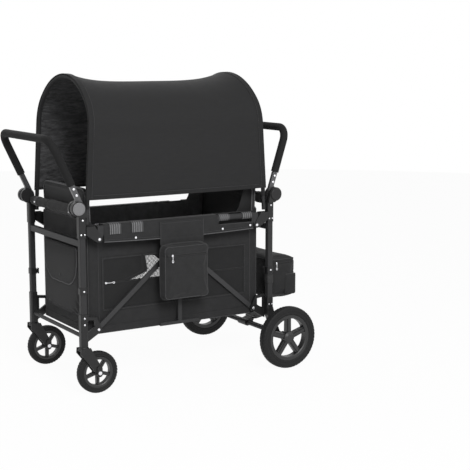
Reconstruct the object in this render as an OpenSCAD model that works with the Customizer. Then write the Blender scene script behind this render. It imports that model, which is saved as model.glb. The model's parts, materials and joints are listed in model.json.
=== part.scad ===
/* [Frame] */
// distance from the front posts to the rear posts, centre to centre
post_spacing = 912; // [880:1:960]
// distance from the left posts to the right posts, centre to centre
post_track = 534; // [524:1:560]
// post size along the wagon
post_depth = 25; // [20:0.5:28]
// post size across the wagon
post_width = 26; // [24:0.5:28]
// wall of every frame tube
tube_wall = 1.5; // [1:0.1:2.5]
// wall of the plastic collars, clips and sleeves on the posts
collar_wall = 2.8; // [2:0.1:3.5]
// lower edge of the collars
collar_bottom = 655; // [650:1:665]
// upper end of the posts and collars
post_top = 742; // [735:1:750]
// lower end of the front posts
front_post_bottom = 214; // [205:1:225]
// lower end of the rear posts
rear_post_bottom = 262; // [255:1:270]
// height of the upper crossbars
upper_crossbar_height = 632; // [600:1:640]
// upper crossbar size along the wagon
upper_crossbar_depth = 20; // [14:1:24]
// upper crossbar size up and down
upper_crossbar_tall = 25; // [18:1:30]
// height of the lower crossbars
lower_crossbar_height = 245; // [240:1:252]
// lower crossbar radius
lower_crossbar_radius = 8.5; // [7:0.5:10]
// how far the wrapped top bars lie below the handle hinges
top_bar_drop = 21; // [16:1:24]
// wrapped top bar radius
top_bar_radius = 20; // [15:0.5:21]
// height of the corner clips
clip_height = 436; // [400:1:470]
// corner clip size up and down
clip_tall = 25; // [18:1:35]

/* [Scissor] */
// distance from the posts in to the lower scissor pivots
lower_pivot_inset = 72; // [64:1:80]
// height of the lower scissor pivots
lower_pivot_height = 265; // [260:1:270]
// height of the crossing above the lower pivots
crossing_rise = 325; // [315:1:335]
// share of a bar's lower part that its upper part has
upper_share = 0.3; // [0.26:0.01:0.32]
// bar width seen from the side
bar_width = 20; // [16:0.5:22]
// bar thickness across the wagon
bar_thick = 8; // [6:0.5:8]
// pivot pin radius
pin_radius = 4; // [3:0.25:5]
// hanger width seen from the side
hanger_width = 18; // [14:0.5:22]
// reach of the floor side tubes from the middle
floor_tube_reach = 95; // [70:1:100]
// floor tube size up and down
floor_tube_tall = 14; // [10:0.5:18]

/* [Side rails] */
// rail tube radius
rail_radius = 12.5; // [10:0.5:12.5]
// height of the rail tubes
rail_height = 690; // [686:1:694]
// how far the rail pivot lies below the rail tube
rail_pivot_drop = 44; // [40:1:46]
// distance from the posts in to the rail pivots
rail_pivot_inset = 73.5; // [70:0.5:78]
// distance from the middle to the inner end of the rails
rail_inner_reach = 103; // [98:1:110]

/* [Handles] */
// distance from the post centre out to the handle hinge
hinge_offset = 20; // [16:0.5:24]
// height of the handle hinges above the post tops
hinge_rise = 36; // [33:1:44]
// radius of the handle hubs
hub_radius = 30.5; // [28:0.5:31]
// distance of the handle arm line from the hinge
arm_offset = 21.5; // [20:0.5:26]
// distance from the hinge to the handle bar
handle_length = 299; // [260:1:310]
// handle tube radius
handle_tube_radius = 11; // [9:0.5:12]
// foam grip radius
grip_radius = 17; // [14:0.5:18]
// radius of the handle corners
handle_corner = 60; // [45:1:80]
// outward lean of the front handle
front_lean = 25; // [20:0.5:32]
// outward lean of the rear handle
rear_lean = 18; // [15:0.5:26]
// radius of the release buttons
button_radius = 26.5; // [20:0.5:27]
// push travel of the release buttons
button_travel = 4; // [3:0.5:5]

/* [Canopy] */
// hoop tube radius
hoop_radius = 7; // [6:0.5:8]
// half width of the hoops at the tube centre
hoop_half_width = 263; // [261:1:264]
// height of the top of the hoops at the tube centre
hoop_top = 1301; // [1280:1:1320]
// height where the hoop arch starts
hoop_spring = 1098; // [1080:1:1110]
// radius of the hoop arch at its shoulders
hoop_shoulder = 152; // [130:1:165]
// distance from the middle to the hoop feet
hoop_foot_reach = 430; // [429.5:0.5:432]
// height at which that distance is taken
hoop_foot_height = 726; // [722:1:730]
// inward lean of the hoops
hoop_lean = 3.5; // [2:0.25:5]
// thickness of the canopy cloth
canopy_thick = 3; // [2:0.25:4]
// overhang of the canopy past each hoop
canopy_overhang = 1.5; // [0.5:0.5:3]
// height of the lower hem of the canopy sides
canopy_hem = 808; // [800:1:850]
// sag of the ridge midway between the hoops
canopy_sag = 34; // [10:1:60]

/* [Tub] */
// distance from the posts in to the outside of the end walls
tub_inset = 38; // [34:1:42]
// half width of the tub outside
tub_half_width = 231; // [222:1:232]
// height of the underside of the tub
tub_bottom = 258; // [256:1:262]
// wall of the tub
tub_wall = 4; // [3:0.25:5]
// height of the end walls
end_wall_top = 716; // [708:1:722]
// lower hem of the band that hangs over the side rails
band_hem = 633; // [610:1:650]
// gap between the rail pivots and the ends of that band
band_inset = 20.5; // [18.5:0.5:40]
// cloth thickness of that band
band_thick = 2.5; // [2:0.25:3]
// thickness of the floor mat
mat_thick = 6; // [4:0.5:10]
// height of a seat cushion at its crown
cushion_tall = 56; // [40:1:70]
// length of a seat cushion
cushion_length = 300; // [260:1:310]
// top of the seat backs
seat_back_top = 852; // [820:1:880]
// outward lean of the seat backs
seat_lean = 2.5; // [1:0.25:3]
// thickness of a seat back at its crown
seat_back_thick = 24; // [18:1:28]

/* [Bags] */
// height of the underside of the front pocket
pocket_bottom = 304; // [290:1:315]
// front pocket size up and down
pocket_tall = 300; // [280:1:310]
// size of that pocket's flap up and down
flap_tall = 163; // [120:1:175]
// half width of the pocket on the front wall
pocket_half_width = 215; // [190:1:222]
// how far that pocket stands off the wall
pocket_depth = 18; // [14:1:20]
// width of the side pouch
pouch_width = 235; // [200:1:240]
// lower edge of the side pouch
pouch_bottom = 364; // [340:1:400]
// upper edge of the side pouch
pouch_top = 605; // [580:1:620]
// depth of the side pouch
pouch_depth = 50; // [30:1:56]
// upper edge of the flap above the side pouch
pouch_flap_top = 698; // [660:1:700]
// depth of the cooler bag along the wagon
bag_depth = 157; // [120:1:160]
// height of the straps that hold the cooler bag
strap_height = 375; // [350:1:400]
// width of those straps
strap_wide = 40; // [25:1:50]
// half width of the cooler bag
bag_half_width = 235; // [200:1:240]
// lower edge of the cooler bag
bag_bottom = 298; // [290:1:320]
// height of the cooler bag at the edge of its lid
bag_tall = 168; // [130:1:172]
// rise of the lid above that edge
bag_lid_rise = 18; // [8:1:20]

/* [Wheels] */
// front wheel radius
front_wheel_radius = 89; // [80:1:92]
// front wheel width
front_wheel_width = 32; // [26:1:34]
// front wheel opening radius
front_opening = 54; // [48:1:60]
// distance of the front axle behind the swivel
trail = 58; // [45:1:62]
// rear wheel radius
rear_wheel_radius = 140; // [132:1:145]
// rear wheel width
rear_wheel_width = 42; // [34:1:44]
// rear wheel opening radius
rear_opening = 87; // [78:1:94]
// distance from the middle to the rear wheel centre planes
rear_wheel_reach = 364; // [358:1:372]
// distance of the rear axle behind the rear posts
axle_offset = 37.4; // [34:0.2:42]
// rear axle tube radius
axle_radius = 9; // [8:0.5:10]
// spokes in each wheel
spoke_count = 5; // [5:1:7]
// reach of the brake pedal behind the axle
pedal_reach = 96; // [80:1:105]

/* [Fits] */
// gap between pieces that are fixed to each other
slip = 0.2; // [0.1:0.05:0.3]
// gap between a hoop and the cloth stretched over it
canopy_ease = 1.6; // [1.5:0.1:2]
// gap between the rail band and the pouch, beside the strip that holds it
pouch_gap = 1.6; // [1.5:0.1:2.5]
// gap between pieces that move on each other
run_gap = 0.4; // [0.3:0.05:0.6]

/* [Hidden] */
$fn = 32;

post_x = post_spacing / 2;
post_y = post_track / 2;
post_corner = 4;
sleeve_x = post_depth + 2 * slip + 2 * collar_wall;
sleeve_y = post_width + 2 * slip + 2 * collar_wall;
sleeve_in = post_y - sleeve_y / 2;
sleeve_out = post_y + sleeve_y / 2;
sleeve_front = post_x + sleeve_x / 2;
sleeve_back = post_x - sleeve_x / 2;
hinge_x = post_x + hinge_offset;
hinge_height = post_top + hinge_rise;
top_bar_height = hinge_height - top_bar_drop;
lower_pivot_reach = post_x - lower_pivot_inset;
rail_pivot_reach = post_x - rail_pivot_inset;
tub_reach = post_x - tub_inset;
band_reach = rail_pivot_reach - band_inset;

// the layers across the wagon, from the tub outward
inner_bar_y = tub_half_width + 3;
outer_bar_y = inner_bar_y + bar_thick + 2;
hanger_y = outer_bar_y + bar_thick + 2 * run_gap + 3.2;
hanger_thick = bar_thick;
crossing_z = lower_pivot_height + crossing_rise;
bar_angle = atan2(crossing_rise, lower_pivot_reach);
bar_lower = norm([lower_pivot_reach, crossing_rise]);
rail_pivot_z = rail_height - rail_pivot_drop;
upper_end_x = lower_pivot_reach * upper_share;
upper_end_z = crossing_z + crossing_rise * upper_share;
cheek_thick = 3;
cheek_gap = 0.5;

// the handle hub, from the inside outward
disc_thick = 13.4;
disc_in = post_y - disc_thick / 2;
disc_out = post_y + disc_thick / 2;
hub_in = disc_in - run_gap - 12;
hub_out = disc_out + run_gap + 17;
hub_pin_radius = 6;
handle_bracket_end = 92;
button_face = hub_out + button_travel + 1;

front_axle_x = -post_x + trail;
axle_x = post_x + axle_offset;
axle_z = rear_wheel_radius;
stub_radius = 6;
wheel_in = rear_wheel_reach - rear_wheel_width / 2;
front_bar_x = hinge_x - arm_offset * cos(front_lean) + handle_length * sin(front_lean);
front_reach = front_bar_x + grip_radius;
rear_reach = max(axle_x + rear_wheel_radius, post_x + post_depth / 2 + 6.5 + bag_depth);
box_mid_x = (rear_reach - front_reach) / 2;
band_out = post_y + rail_radius + 3.5;

module place() {
    translate([-box_mid_x, 0, 0]) children();
}

module both_sides() {
    children();
    mirror([0, 1, 0]) children();
}

module at_rear() {
    mirror([1, 0, 0]) children();
}

// a side profile drawn in length and height, thick from y0 to y1
module slab(y0, y1) {
    translate([0, y1, 0]) rotate([90, 0, 0]) linear_extrude(y1 - y0) children();
}

// a round bar across the wagon from y0 to y1
module rod(x, z, r, y0, y1) {
    translate([x, y0, z]) rotate([-90, 0, 0]) cylinder(r = r, h = y1 - y0);
}

module rounded(w, d, r) {
    offset(r) square([w - 2 * r, d - 2 * r], center = true);
}

module ring_section(w, d, r, wall) {
    difference() {
        rounded(w, d, r);
        rounded(w - 2 * wall, d - 2 * wall, max(r - wall, 0.5));
    }
}

module sleeve_section() {
    difference() {
        rounded(sleeve_x, sleeve_y, post_corner + collar_wall);
        rounded(post_depth + 2 * slip, post_width + 2 * slip, post_corner + slip);
    }
}

module post(bottom) {
    translate([-post_x, post_y, bottom])
        linear_extrude(post_top - bottom)
            ring_section(post_depth, post_width, post_corner, tube_wall);
}

module crossbars(end_y) {
    difference() {
        translate([-post_x, 0, upper_crossbar_height])
            cube([upper_crossbar_depth, post_track - post_width, upper_crossbar_tall], center = true);
        translate([-post_x, 0, upper_crossbar_height])
            cube([upper_crossbar_depth - 2 * tube_wall, post_track, upper_crossbar_tall - 2 * tube_wall],
                center = true);
    }
    difference() {
        rod(-post_x, lower_crossbar_height, lower_crossbar_radius, -end_y, end_y);
        rod(-post_x, lower_crossbar_height, lower_crossbar_radius - tube_wall, -end_y - 1, end_y + 1);
    }
}

module top_bar() {
    wrap = hoop_half_width - hoop_radius - 12;
    rod(-post_x + 3, top_bar_height, top_bar_radius, -wrap, wrap);
    rod(-post_x + 3, top_bar_height, top_bar_radius / 2, -hub_in, hub_in);
}

module hoop_frame() {
    translate([-hoop_foot_reach, 0, hoop_foot_height]) rotate([0, hoop_lean, 0]) children();
}

socket_tall = 16;
socket_radius = hoop_radius + slip + 2.5;

module collar() {
    difference() {
        union() {
            translate([-post_x, post_y, collar_bottom])
                linear_extrude(post_top - collar_bottom) sleeve_section();
            hoop_frame() translate([0, hoop_half_width, -socket_tall])
                cylinder(r = socket_radius, h = 2 * socket_tall - 1);
            translate([-sleeve_back - 1, hoop_half_width - 5, hoop_foot_height - socket_tall + 2])
                cube([sleeve_back + 1 - hoop_foot_reach, 10, 2 * socket_tall - 8]);
        }
        hoop_frame() translate([0, hoop_half_width, -socket_tall + 3])
            cylinder(r = hoop_radius + slip, h = 3 * socket_tall);
        translate([-post_x, post_y, collar_bottom - 1])
            linear_extrude(post_top - collar_bottom + 2)
                rounded(post_depth + 2 * slip, post_width + 2 * slip, post_corner + slip);
    }
}

// a clip round the post with a tab that holds the tub's corner
module corner_clip() {
    low = clip_height - clip_tall / 2;
    translate([-post_x, post_y, low]) linear_extrude(clip_tall) sleeve_section();
    translate([-sleeve_back - 2, sleeve_in, low + 4])
        cube([sleeve_back + 2 - tub_reach - 14, 4, clip_tall - 8]);
    translate([-tub_reach - 18, sleeve_in, low])
        cube([4, 12, clip_tall]);
}

// the bracket that carries a lower scissor pivot, open in the middle
module scissor_arm(y0, y1) {
    px = lower_pivot_reach;
    pz = lower_pivot_height;
    root = sleeve_back + 2;
    difference() {
        slab(y0, y1) difference() {
            union() {
                polygon([[-root, pz + 60], [-px - 10, pz + 54], [-px + 13, pz + 6], [-px + 12, pz - 8],
                    [-px, pz - 15], [-root, pz - 50]]);
                translate([-px, pz]) circle(15);
            }
            polygon([[-root + 8, pz + 46], [-px - 18, pz + 42], [-px - 18, pz + 14], [-root + 8, pz - 8]]);
        }
        rod(-px, pz, pin_radius + slip, y0 - 1, y1 + 1);
    }
}

stem_radius = 8;
sleeve_foot = front_post_bottom - 11;

module front_leg_sleeve() {
    difference() {
        translate([-post_x, post_y, sleeve_foot])
            linear_extrude(lower_pivot_height + 75 - sleeve_foot)
                rounded(sleeve_x, sleeve_y, post_corner + collar_wall);
        translate([-post_x, post_y, front_post_bottom])
            linear_extrude(post_top - front_post_bottom)
                rounded(post_depth + 2 * slip, post_width + 2 * slip, post_corner + slip);
        translate([-post_x, post_y, sleeve_foot - 1])
            cylinder(r = stem_radius + run_gap, h = 40);
    }
    scissor_arm(outer_bar_y + bar_thick + run_gap, outer_bar_y + bar_thick + run_gap + 11);
}

// the rear sleeve ends in a leg that leans back to the axle
module rear_leg_sleeve() {
    lx = axle_x;
    module leg_recess() {
        polygon([[-post_x - 9, rear_post_bottom - 26], [-post_x + 7, rear_post_bottom - 38],
            [-lx + 9, axle_z + 30], [-lx - 9, axle_z + 30]]);
    }
    difference() {
        union() {
            translate([-post_x, post_y, rear_post_bottom - 8])
                linear_extrude(lower_pivot_height + 53 - rear_post_bottom)
                    rounded(sleeve_x, sleeve_y, post_corner + collar_wall);
            slab(sleeve_in + 2, sleeve_out - 2) difference() {
                union() {
                    polygon([[-sleeve_front, rear_post_bottom + 2], [-sleeve_back, rear_post_bottom + 2],
                        [-sleeve_back - 1, rear_post_bottom - 30], [-lx + 17, axle_z + 4], [-lx - 17, axle_z + 4],
                        [-sleeve_front - 12, rear_post_bottom - 47]]);
                    translate([-lx, axle_z]) circle(axle_radius + 9);
                }
            }
        }
        translate([-post_x, post_y, rear_post_bottom])
            linear_extrude(post_top - rear_post_bottom)
                rounded(post_depth + 2 * slip, post_width + 2 * slip, post_corner + slip);
        slab(sleeve_in - 1, sleeve_in + 9)
            leg_recess();
        slab(sleeve_out - 9, sleeve_out + 1)
            leg_recess();
        rod(-lx, axle_z, axle_radius + slip, 0, post_track);
    }
    scissor_arm(inner_bar_y + bar_thick + run_gap, sleeve_in + 3);
}

// two cheeks on the collar that hold the rail's lug between them
module rail_bracket() {
    px = rail_pivot_reach;
    pz = rail_pivot_z;
    in0 = post_y - rail_radius - cheek_gap - cheek_thick;
    out1 = post_y + rail_radius + cheek_gap + cheek_thick;
    module cheek() {
        union() {
            polygon([[-sleeve_back, collar_bottom + 46], [-sleeve_back, collar_bottom + 12], [-px - 12, pz - 11],
                [-px, pz - 13], [-px + 11, pz - 6], [-px + 11, pz + 6], [-px - 4, pz + 30],
                [-px - 20, collar_bottom + 46]]);
            translate([-px, pz]) circle(13);
        }
    }
    difference() {
        slab(in0, in0 + cheek_thick) cheek();
        rod(-px, pz, pin_radius + slip, in0 - 1, out1 + 1);
    }
    difference() {
        slab(out1 - cheek_thick, out1) cheek();
        rod(-px, pz, pin_radius + slip, in0 - 1, out1 + 1);
    }
    slab(in0, out1) polygon([[-sleeve_back, collar_bottom + 46], [-sleeve_back, collar_bottom + 12],
        [-sleeve_back + 3, collar_bottom + 12], [-sleeve_back + 3, collar_bottom + 46]]);
}

// the fixed half of a handle hinge: two cheeks, their pin and the button's pocket
module handle_hub() {
    module cheek() {
        union() {
            translate([-hinge_x, hinge_height]) circle(hub_radius, $fn = 48);
            polygon([[-sleeve_front, post_top], [-sleeve_back, post_top], [-sleeve_back, post_top + 12],
                [-hinge_x + 27, hinge_height + 8], [-hinge_x, hinge_height], [-hinge_x - 12, hinge_height - 24]]);
        }
    }
    slab(hub_in, disc_in - run_gap) cheek();
    difference() {
        slab(disc_out + run_gap, hub_out) cheek();
        rod(-hinge_x, hinge_height, button_radius + run_gap, hub_out - button_travel * 2 - 1, hub_out + 1);
    }
    translate([-sleeve_front, hub_in, post_top])
        cube([sleeve_x, hub_out - hub_in, max(hinge_height - hub_radius - post_top - 1.5, 2)]);
    rod(-hinge_x, hinge_height, hub_pin_radius, disc_in - run_gap - 1, disc_out + run_gap + 1);
}

button_thick = button_face - (hub_out - button_travel);

module button() {
    back = button_face - button_thick;
    translate([-hinge_x, back, hinge_height]) rotate([-90, 0, 0])
        rotate_extrude($fn = 48)
            polygon([[0, 0], [button_radius, 0], [button_radius, button_thick - 2.5],
                [button_radius - 1, button_thick - 0.8], [button_radius - 3, button_thick], [0, button_thick]]);
}

// the U of the handle in its own frame: n runs inward, u runs up the arm
module handle_path(r, u0) {
    straight = handle_length - handle_corner;
    flat = post_y - handle_corner;
    translate([arm_offset, 0, 0]) {
        both_sides() {
            translate([0, post_y, u0]) cylinder(r = r, h = straight - u0);
            translate([0, flat, straight]) rotate([90, 0, 90])
                rotate_extrude(angle = 90, $fn = 32) translate([handle_corner, 0]) circle(r, $fn = 24);
        }
        rod(0, handle_length, r, -flat, flat);
    }
}

module handle_bracket() {
    e = handle_bracket_end;
    difference() {
        slab(disc_in, disc_out) union() {
            circle(hub_radius - 3);
            polygon([[-8, 23], [arm_offset - 11, 34], [arm_offset - 11, e], [arm_offset + 11, e],
                [arm_offset + 11, 12], [arm_offset + 4, -4], [14, -16]]);
        }
        rod(0, 0, hub_pin_radius + run_gap, disc_in - 1, disc_out + 1);
    }
    for (u = [49, 78])
        translate([arm_offset, disc_out, u]) rotate([-90, 0, 0]) cylinder(r = 4, h = 1.4, $fn = 16);
}

module handle_tube() {
    both_sides() handle_bracket();
    difference() {
        handle_path(handle_tube_radius, handle_bracket_end);
        handle_path(handle_tube_radius - tube_wall, handle_bracket_end + 2);
    }
}

module handle_grip() {
    difference() {
        handle_path(grip_radius, handle_bracket_end + 3);
        handle_path(handle_tube_radius + slip, handle_bracket_end + 2);
    }
}

module front_handle_place() {
    place() translate([-hinge_x, 0, hinge_height]) rotate([0, -front_lean, 0]) children();
}

module rear_handle_place() {
    place() at_rear() translate([-hinge_x, 0, hinge_height]) rotate([0, -rear_lean, 0]) children();
}

// the three-centred arch of a hoop, in its leaning plane, from the foot up
arch_rise = (hoop_top - hoop_spring) / cos(hoop_lean);
leg_top = (hoop_spring - hoop_foot_height) / cos(hoop_lean);
crown_radius = (pow(hoop_half_width, 2) + pow(arch_rise, 2) - 2 * hoop_half_width * hoop_shoulder)
    / (2 * (arch_rise - hoop_shoulder));
arch_turn = atan2(crown_radius - arch_rise, hoop_half_width - hoop_shoulder);
shoulder_y = hoop_half_width - hoop_shoulder;
hoop_side = concat([[hoop_half_width, -socket_tall + 3.2], [hoop_half_width, leg_top * 0.5]],
    [for (i = [0:7]) [shoulder_y + hoop_shoulder * cos(i * arch_turn / 7),
        leg_top + hoop_shoulder * sin(i * arch_turn / 7)]],
    [for (i = [1:7]) let (t = arch_turn + i * (90 - arch_turn) / 7)
        [crown_radius * cos(t), leg_top + arch_rise - crown_radius + crown_radius * sin(t)]]);
hoop_path = concat(hoop_side, [for (i = [len(hoop_side) - 2:-1:0]) [-hoop_side[i][0], hoop_side[i][1]]]);

// a tube bent along points in its own upright plane
module bent_tube(path, r, sides) {
    n = len(path);
    function along(i) = let (d = path[min(i + 1, n - 1)] - path[max(i - 1, 0)]) d / norm(d);
    rings = [for (i = [0:n - 1]) for (j = [0:sides - 1])
        let (t = along(i), a = 360 * j / sides)
        [r * sin(a), path[i][0] - t[1] * r * cos(a), path[i][1] + t[0] * r * cos(a)]];
    walls = [for (i = [0:n - 2]) for (j = [0:sides - 1]) let (k = (j + 1) % sides) each
        [[i * sides + j, (i + 1) * sides + j, i * sides + k],
         [i * sides + k, (i + 1) * sides + j, (i + 1) * sides + k]]];
    caps = [[for (j = [0:sides - 1]) j], [for (j = [sides - 1:-1:0]) (n - 1) * sides + j]];
    polyhedron(rings, concat(walls, caps), convexity = 6);
}

module canopy_hoop() {
    hoop_frame() bent_tube(hoop_path, hoop_radius, 12);
}

module rivet(x, y, z, r) {
    translate([x, y, z]) rotate([-90, 0, 0]) rotate_extrude($fn = 16)
        polygon([[0, 0], [r, 0], [r * 0.85, 0.9], [r * 0.45, 1.5], [0, 1.6]]);
}

// a pin with a flat head at its outer end
module pin(x, z, y0, y1) {
    rod(x, z, pin_radius, y0, y1);
    rivet(x, y1, z, pin_radius + 2);
}

module fasteners(low_pair) {
    both_sides() {
        rivet(-post_x, sleeve_out, post_top - 13, 4);
        for (s = [-1, 1]) rivet(-post_x + 8 * s, sleeve_out, collar_bottom + 15, 3.5);
        rivet(-post_x, sleeve_out, clip_height, 4);
        pin(-rail_pivot_reach, rail_pivot_z, post_y - rail_radius - cheek_gap - cheek_thick,
            post_y + rail_radius + cheek_gap + cheek_thick);
        if (low_pair) {
            for (s = [-1, 1]) rivet(-post_x + 8 * s, sleeve_out, rear_post_bottom + 18, 3.5);
            pin(-lower_pivot_reach, lower_pivot_height, inner_bar_y, sleeve_in + 3);
        }
        if (!low_pair) {
            rivet(-post_x, sleeve_out, front_post_bottom + 83, 4);
            rivet(-post_x, sleeve_out, front_post_bottom + 110, 4);
            pin(-lower_pivot_reach, lower_pivot_height, outer_bar_y, outer_bar_y + bar_thick + run_gap + 11);
        }
    }
}

// one bar of the scissor, lower end at the pivot, upper end past the crossing
module cross_bar(y0, hole) {
    w = bar_width / 2;
    total = bar_lower * (1 + upper_share);
    difference() {
        translate([-lower_pivot_reach, 0, lower_pivot_height]) rotate([0, -bar_angle, 0])
            slab(y0, y0 + bar_thick) union() {
                translate([0, -w]) square([total, bar_width]);
                circle(w);
                translate([total, 0]) circle(w);
            }
        rod(-lower_pivot_reach, lower_pivot_height, pin_radius + run_gap, y0 - 1, y0 + bar_thick + 1);
        rod(0, crossing_z, pin_radius + hole, y0 - 1, y0 + bar_thick + 1);
        rod(upper_end_x, upper_end_z, pin_radius + slip, y0 - 1, y0 + bar_thick + 1);
    }
}

// a half rail with its lug and the boss that faces its own cross bar
module rail(bar_y) {
    boss_in = bar_y + bar_thick + 1;
    difference() {
        union() {
            translate([-rail_pivot_reach + 7, post_y, rail_height]) rotate([0, 90, 0])
                cylinder(r = rail_radius, h = rail_pivot_reach - 7 - rail_inner_reach);
            slab(post_y - rail_radius, post_y + rail_radius) union() {
                translate([-rail_pivot_reach, rail_pivot_z]) circle(11);
                polygon([[-rail_pivot_reach - 9, rail_pivot_z + 6], [-rail_pivot_reach - 6, rail_height + 11],
                    [-rail_pivot_reach + 26, rail_height + 11], [-rail_pivot_reach + 26, rail_height - 10],
                    [-rail_pivot_reach + 10, rail_pivot_z - 4]]);
            }
            rod(-upper_end_x, upper_end_z, 8, boss_in, post_y - 2);
        }
        translate([-rail_pivot_reach + 36, post_y, rail_height]) rotate([0, 90, 0])
            cylinder(r = rail_radius - tube_wall, h = rail_pivot_reach - 36 - rail_inner_reach - 26);
        rod(-rail_pivot_reach, rail_pivot_z, pin_radius + run_gap, 0, post_track);
    }
}

// a padded box with a crown on top and sides drawn in between the corners
module padded(lx, ly, tall, crown, draw, nx, ny) {
    function bow(t) = 1 - pow(2 * t - 1, 2);
    function px(i, j) = (i / nx - 0.5) * (lx - 2 * draw * bow(j / ny));
    function py(i, j) = (j / ny - 0.5) * (ly - 2 * draw * bow(i / nx));
    function rise(i, j) = tall - crown + crown * pow(bow(i / nx) * bow(j / ny), 0.45);
    rows = [for (i = [0:nx]) for (j = [0:ny]) [px(i, j), py(i, j), rise(i, j)]];
    base = [for (i = [0:nx]) for (j = [0:ny]) [px(i, j), py(i, j), 0]];
    m = ny + 1;
    k = (nx + 1) * m;
    top = [for (i = [0:nx - 1]) for (j = [0:ny - 1]) each
        [[i * m + j, i * m + j + 1, (i + 1) * m + j], [i * m + j + 1, (i + 1) * m + j + 1, (i + 1) * m + j]]];
    under = [for (i = [0:nx - 1]) for (j = [0:ny - 1]) each
        [[k + i * m + j, k + (i + 1) * m + j, k + i * m + j + 1],
         [k + i * m + j + 1, k + (i + 1) * m + j, k + (i + 1) * m + j + 1]]];
    ends = [for (j = [0:ny - 1]) each
        [[j, k + j, j + 1], [j + 1, k + j, k + j + 1],
         [nx * m + j, nx * m + j + 1, k + nx * m + j], [nx * m + j + 1, k + nx * m + j + 1, k + nx * m + j]]];
    sides = [for (i = [0:nx - 1]) each
        [[i * m, (i + 1) * m, k + i * m], [(i + 1) * m, k + (i + 1) * m, k + i * m],
         [i * m + ny, k + i * m + ny, (i + 1) * m + ny],
         [(i + 1) * m + ny, k + i * m + ny, k + (i + 1) * m + ny]]];
    polyhedron(concat(rows, base), concat(top, under, ends, sides), convexity = 4);
}

seat_in = tub_reach - tub_wall - 0.5;

seat_low = tub_bottom + tub_wall + mat_thick + 2;
seat_foot = seat_in - (end_wall_top - seat_low) * sin(seat_lean);

// the back leans out over the top of the end wall
module seat_back() {
    tall = seat_back_top - seat_low;
    translate([-seat_in, 0, end_wall_top]) rotate([0, -seat_lean, 0])
        translate([0, 0, seat_low + tall / 2 - end_wall_top]) rotate([0, 90, 0])
            intersection() {
                padded(tall, 2 * (tub_half_width - tub_wall - 2), seat_back_thick, 10, 3, 12, 10);
                translate([0, 0, -1]) linear_extrude(seat_back_thick + 2)
                    offset(45) square([tall - 90, 2 * (tub_half_width - tub_wall - 2) - 90], center = true);
            }
}

module seat_cushion() {
    translate([-seat_foot + seat_back_thick + 3 + cushion_length / 2, 0, seat_low - 1.7])
        padded(cushion_length, 2 * (tub_half_width - tub_wall - 8), cushion_tall, 22, 8, 12, 12);
}

// arch of the canopy at a share s from one hem over the ridge to the other, at depth d inside the cloth
canopy_leg = hoop_spring - canopy_hem;
canopy_turn = arch_turn;
canopy_grow = hoop_radius + canopy_ease + canopy_thick;
ridge_reach = hoop_foot_reach - (hoop_top - hoop_foot_height) * tan(hoop_lean);
hoop_share = 1 - (canopy_overhang + 2 * hoop_radius + 2) / ridge_reach;
function arch_point(s, d) =
    let (g = canopy_grow - d,
        leg = canopy_leg,
        a = (hoop_shoulder + g) * canopy_turn * PI / 180,
        b = (crown_radius + g) * (90 - canopy_turn) * PI / 180,
        run = abs(s) * (leg + a + b),
        side = s < 0 ? -1 : 1,
        q = leg + a + b - run)
    q <= leg
        ? [side * (hoop_half_width + g), canopy_hem + q]
        : q <= leg + a
            ? let (t = (q - leg) / (hoop_shoulder + g) * 180 / PI)
                [side * (hoop_half_width - hoop_shoulder + (hoop_shoulder + g) * cos(t)),
                 hoop_spring + (hoop_shoulder + g) * sin(t)]
            : let (t = canopy_turn + (q - leg - a) / (crown_radius + g) * 180 / PI)
                [side * (crown_radius + g) * cos(t), hoop_top - crown_radius + (crown_radius + g) * sin(t)];

// the cloth between the hoops: the ridge sags and the sides draw in a little
function canopy_point(t, s, d) =
    let (p = arch_point(s, d),
        mid = max(0, 1 - pow(t / hoop_share, 2)),
        up = max(p[1] - hoop_spring, 0) / (hoop_top - hoop_spring),
        reach = hoop_foot_reach - (p[1] - hoop_foot_height) * tan(hoop_lean) + canopy_overhang + hoop_radius)
    [t * reach, p[0] * (1 - 0.02 * mid), p[1] - canopy_sag * mid * pow(up, 0.8)];

module canopy_shell(nt, ns) {
    function column(i) = i == 0 ? -1 : i == nt ? 1 : hoop_share * (2 * (i - 1) / (nt - 2) - 1);
    outer = [for (i = [0:nt]) for (j = [0:ns]) canopy_point(column(i), 2 * j / ns - 1, 0)];
    inner = [for (i = [0:nt]) for (j = [0:ns]) canopy_point(column(i), 2 * j / ns - 1, canopy_thick)];
    m = ns + 1;
    k = (nt + 1) * m;
    skin = [for (i = [0:nt - 1]) for (j = [0:ns - 1]) each
        [[i * m + j, i * m + j + 1, (i + 1) * m + j], [i * m + j + 1, (i + 1) * m + j + 1, (i + 1) * m + j]]];
    lining = [for (i = [0:nt - 1]) for (j = [0:ns - 1]) each
        [[k + i * m + j, k + (i + 1) * m + j, k + i * m + j + 1],
         [k + i * m + j + 1, k + (i + 1) * m + j, k + (i + 1) * m + j + 1]]];
    ends = [for (j = [0:ns - 1]) each
        [[j, k + j, j + 1], [j + 1, k + j, k + j + 1],
         [nt * m + j, nt * m + j + 1, k + nt * m + j], [nt * m + j + 1, k + nt * m + j + 1, k + nt * m + j]]];
    hems = [for (i = [0:nt - 1]) each
        [[i * m, (i + 1) * m, k + i * m], [(i + 1) * m, k + (i + 1) * m, k + i * m],
         [i * m + ns, k + i * m + ns, (i + 1) * m + ns],
         [(i + 1) * m + ns, k + i * m + ns, k + (i + 1) * m + ns]]];
    polyhedron(concat(outer, inner), concat(skin, lining, ends, hems), convexity = 6);
}

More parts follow.
